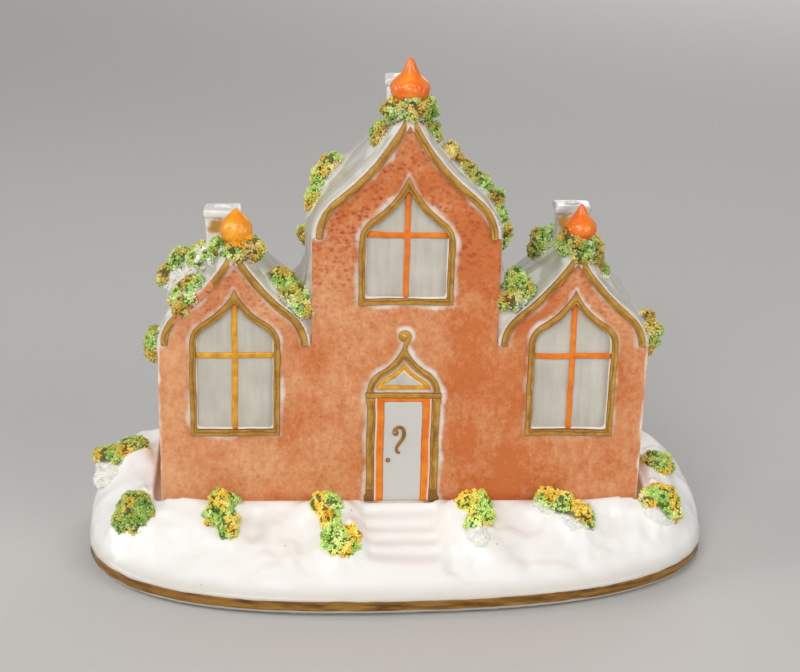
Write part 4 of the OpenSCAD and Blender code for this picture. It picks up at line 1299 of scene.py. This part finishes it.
def make_moss(node, body, support, order):
    """One clump: its core, darkened with painted shade, set with florets whose colour runs white at the
    roots.
    """
    seed = Vector((order * 3.7, order * 1.9, order * 5.3))
    piece = make_core(node, seed, body, support)
    ochres = BASE_OCHRES if body == "base" else ROOF_OCHRES
    points, faces, tints = tufts = ([], [], [])
    for face in piece.data.polygons:
        if draw.random() > face.area / (MM * MM) * FLORETS_PER_MM2:
            continue
        place = face.center.copy()
        depth = depth_in(support, place)
        if depth < FLORET_BURIED or (body == "base" and under_house(place)):
            continue
        colour = moss_tint(node, place, seed, ochres)
        pale = whiteness(node, body, place, depth)
        if pale > PALE_LIMIT and draw.random() < PALE_BALD:
            continue
        if node == RUN_NODE and in_run(place):
            colour = RUN_ORANGE
            pale = 0
        # Painted shade at the strand roots, lighter where the slip is white
        shade = ROOT_PAINTED_SHADE + (PALE_ROOT_PAINTED_SHADE - ROOT_PAINTED_SHADE) * pale
        grow_floret(tufts, place, face.normal, blend(colour, SLIP_WHITE, pale), shade)
    for point in points:
        hold_in_box(point)
    mesh = bpy.data.meshes.new(node + "_tufts")
    mesh.from_pydata(points, [], faces)
    colour_points(mesh, tints)
    core = []
    for vertex in piece.data.vertices:
        pale = whiteness(node, body, vertex.co, depth_in(support, vertex.co))
        # The core shows between the florets, darkened as painted shade
        dark = [CORE_PAINTED_SHADE * c for c in moss_tint(node, vertex.co, seed, ochres)]
        core.append(blend(dark, SLIP_WHITE, pale))
    colour_points(piece.data, core)
    grown = bpy.data.objects.new(node + "_tufts", mesh)
    bpy.context.collection.objects.link(grown)
    select_only(piece, grown)
    bpy.ops.object.join()
    settle(piece, MOSS, body, "clay_moss", node)


def make_all_moss():
    ground = surface_of("base")
    house = surface_of(
        "front_wall", "left_wall", "right_wall", "back_wall", "main_roof", "left_roof", "right_roof",
        "main_left_cheek", "main_right_cheek", "main_chimney", "left_chimney", "right_chimney")
    nodes = [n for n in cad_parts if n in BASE_MOSS or n in ROOF_MOSS]
    for order, node in enumerate(nodes, 1):
        on_base = node in BASE_MOSS
        make_moss(node, "base" if on_base else "house", ground if on_base else house, order)


PASTILLE_WAVE = (2, 0.12)


def make_pastille():
    piece = cast_of("charcoal_pastille", "pastille")
    soften(piece, 0.35, 2)
    waver(piece, *PASTILLE_WAVE)
    settle(piece, CHARCOAL, "pastille", "charcoal", "pastille")


# Studio: a plain pale floor and soft light. Places and sizes in metres, and power in watts

FLOOR = "#c9c7c4"
FLOOR_SIZE = 6
FLOOR_NEAR = 0.45
FLOOR_FAR = 1.8
FLOOR_GLOW = 0.84
BACKGROUND = 0.9
WORLD_LIGHT = 0.68
LAMP_AIM = mm(0, 0, 55)
LAMPS = [
    ("key", (-0.3, -0.78, 0.68), 0.6, 6.05),
    ("fill", (0.62, -0.6, 0.45), 0.6, 3.4),
    ("side", (-0.92, -0.12, 0.42), 0.45, 3.2),
    ("top", (0.05, 0.2, 0.95), 0.6, 1.8),
    ("rear", (0.35, 0.9, 0.5), 0.6, 2.0),
]


def add_lamp(name, place, size, power):
    data = bpy.data.lights.new(name, "AREA")
    data.size = size
    data.energy = power
    lamp = bpy.data.objects.new(name, data)
    bpy.context.collection.objects.link(lamp)
    lamp.location = place
    lamp.rotation_euler = (LAMP_AIM - Vector(place)).to_track_quat("-Z", "Y").to_euler()


def shown_rays(tree):
    """1 for rays that show the background to the eye, straight or in glaze, and 0 for rays that light."""
    path = add_node(tree, "LightPath", {})
    shown = path.outputs["Is Camera Ray"]
    for ray in ("Is Glossy Ray", "Is Transmission Ray"):
        shown = compute(tree, "MAXIMUM", shown, path.outputs[ray])
    return shown


def add_studio():
    bpy.ops.object.select_all(action="DESELECT")
    bpy.ops.mesh.primitive_plane_add(size=FLOOR_SIZE)
    floor = bpy.context.object
    floor.name = "floor"
    material, tree, shader, place = new_material("matt_paper_floor", Roughness=0.9)
    shader.inputs["Base Color"].default_value = paint(FLOOR)
    shader.inputs["Emission Color"].default_value = paint(FLOOR)
    away = add_node(tree, "VectorMath", {0: place}, operation="LENGTH").outputs["Value"]
    far = remap(tree, away, FLOOR_NEAR, FLOOR_FAR, 0.0, FLOOR_GLOW, soft=True)
    feed(tree, shader, Emission_Strength=compute(tree, "MULTIPLY", far, shown_rays(tree)))
    floor.data.materials.append(material)
    for name, place, size, power in LAMPS:
        add_lamp(name, place, size, power)
    world = bpy.data.worlds.new("studio")
    world.use_nodes = True
    tree = world.node_tree
    light = tree.nodes["Background"]
    light.inputs["Strength"].default_value = WORLD_LIGHT
    seen = add_node(tree, "Background", {"Color": paint(FLOOR), "Strength": BACKGROUND})
    mix = add_node(tree, "MixShader", {0: shown_rays(tree), 1: light.outputs[0], 2: seen.outputs[0]})
    tree.links.new(mix.outputs[0], tree.nodes["World Output"].inputs["Surface"])
    bpy.context.scene.world = world
    bpy.context.scene.view_settings.view_transform = "Standard"


add_camera()
make_base()
make_front_wall()
make_side_walls()
make_roofs()
make_chimneys()
make_finials()
make_trim()
make_scrolls()
make_all_moss()
make_pastille()
add_studio()
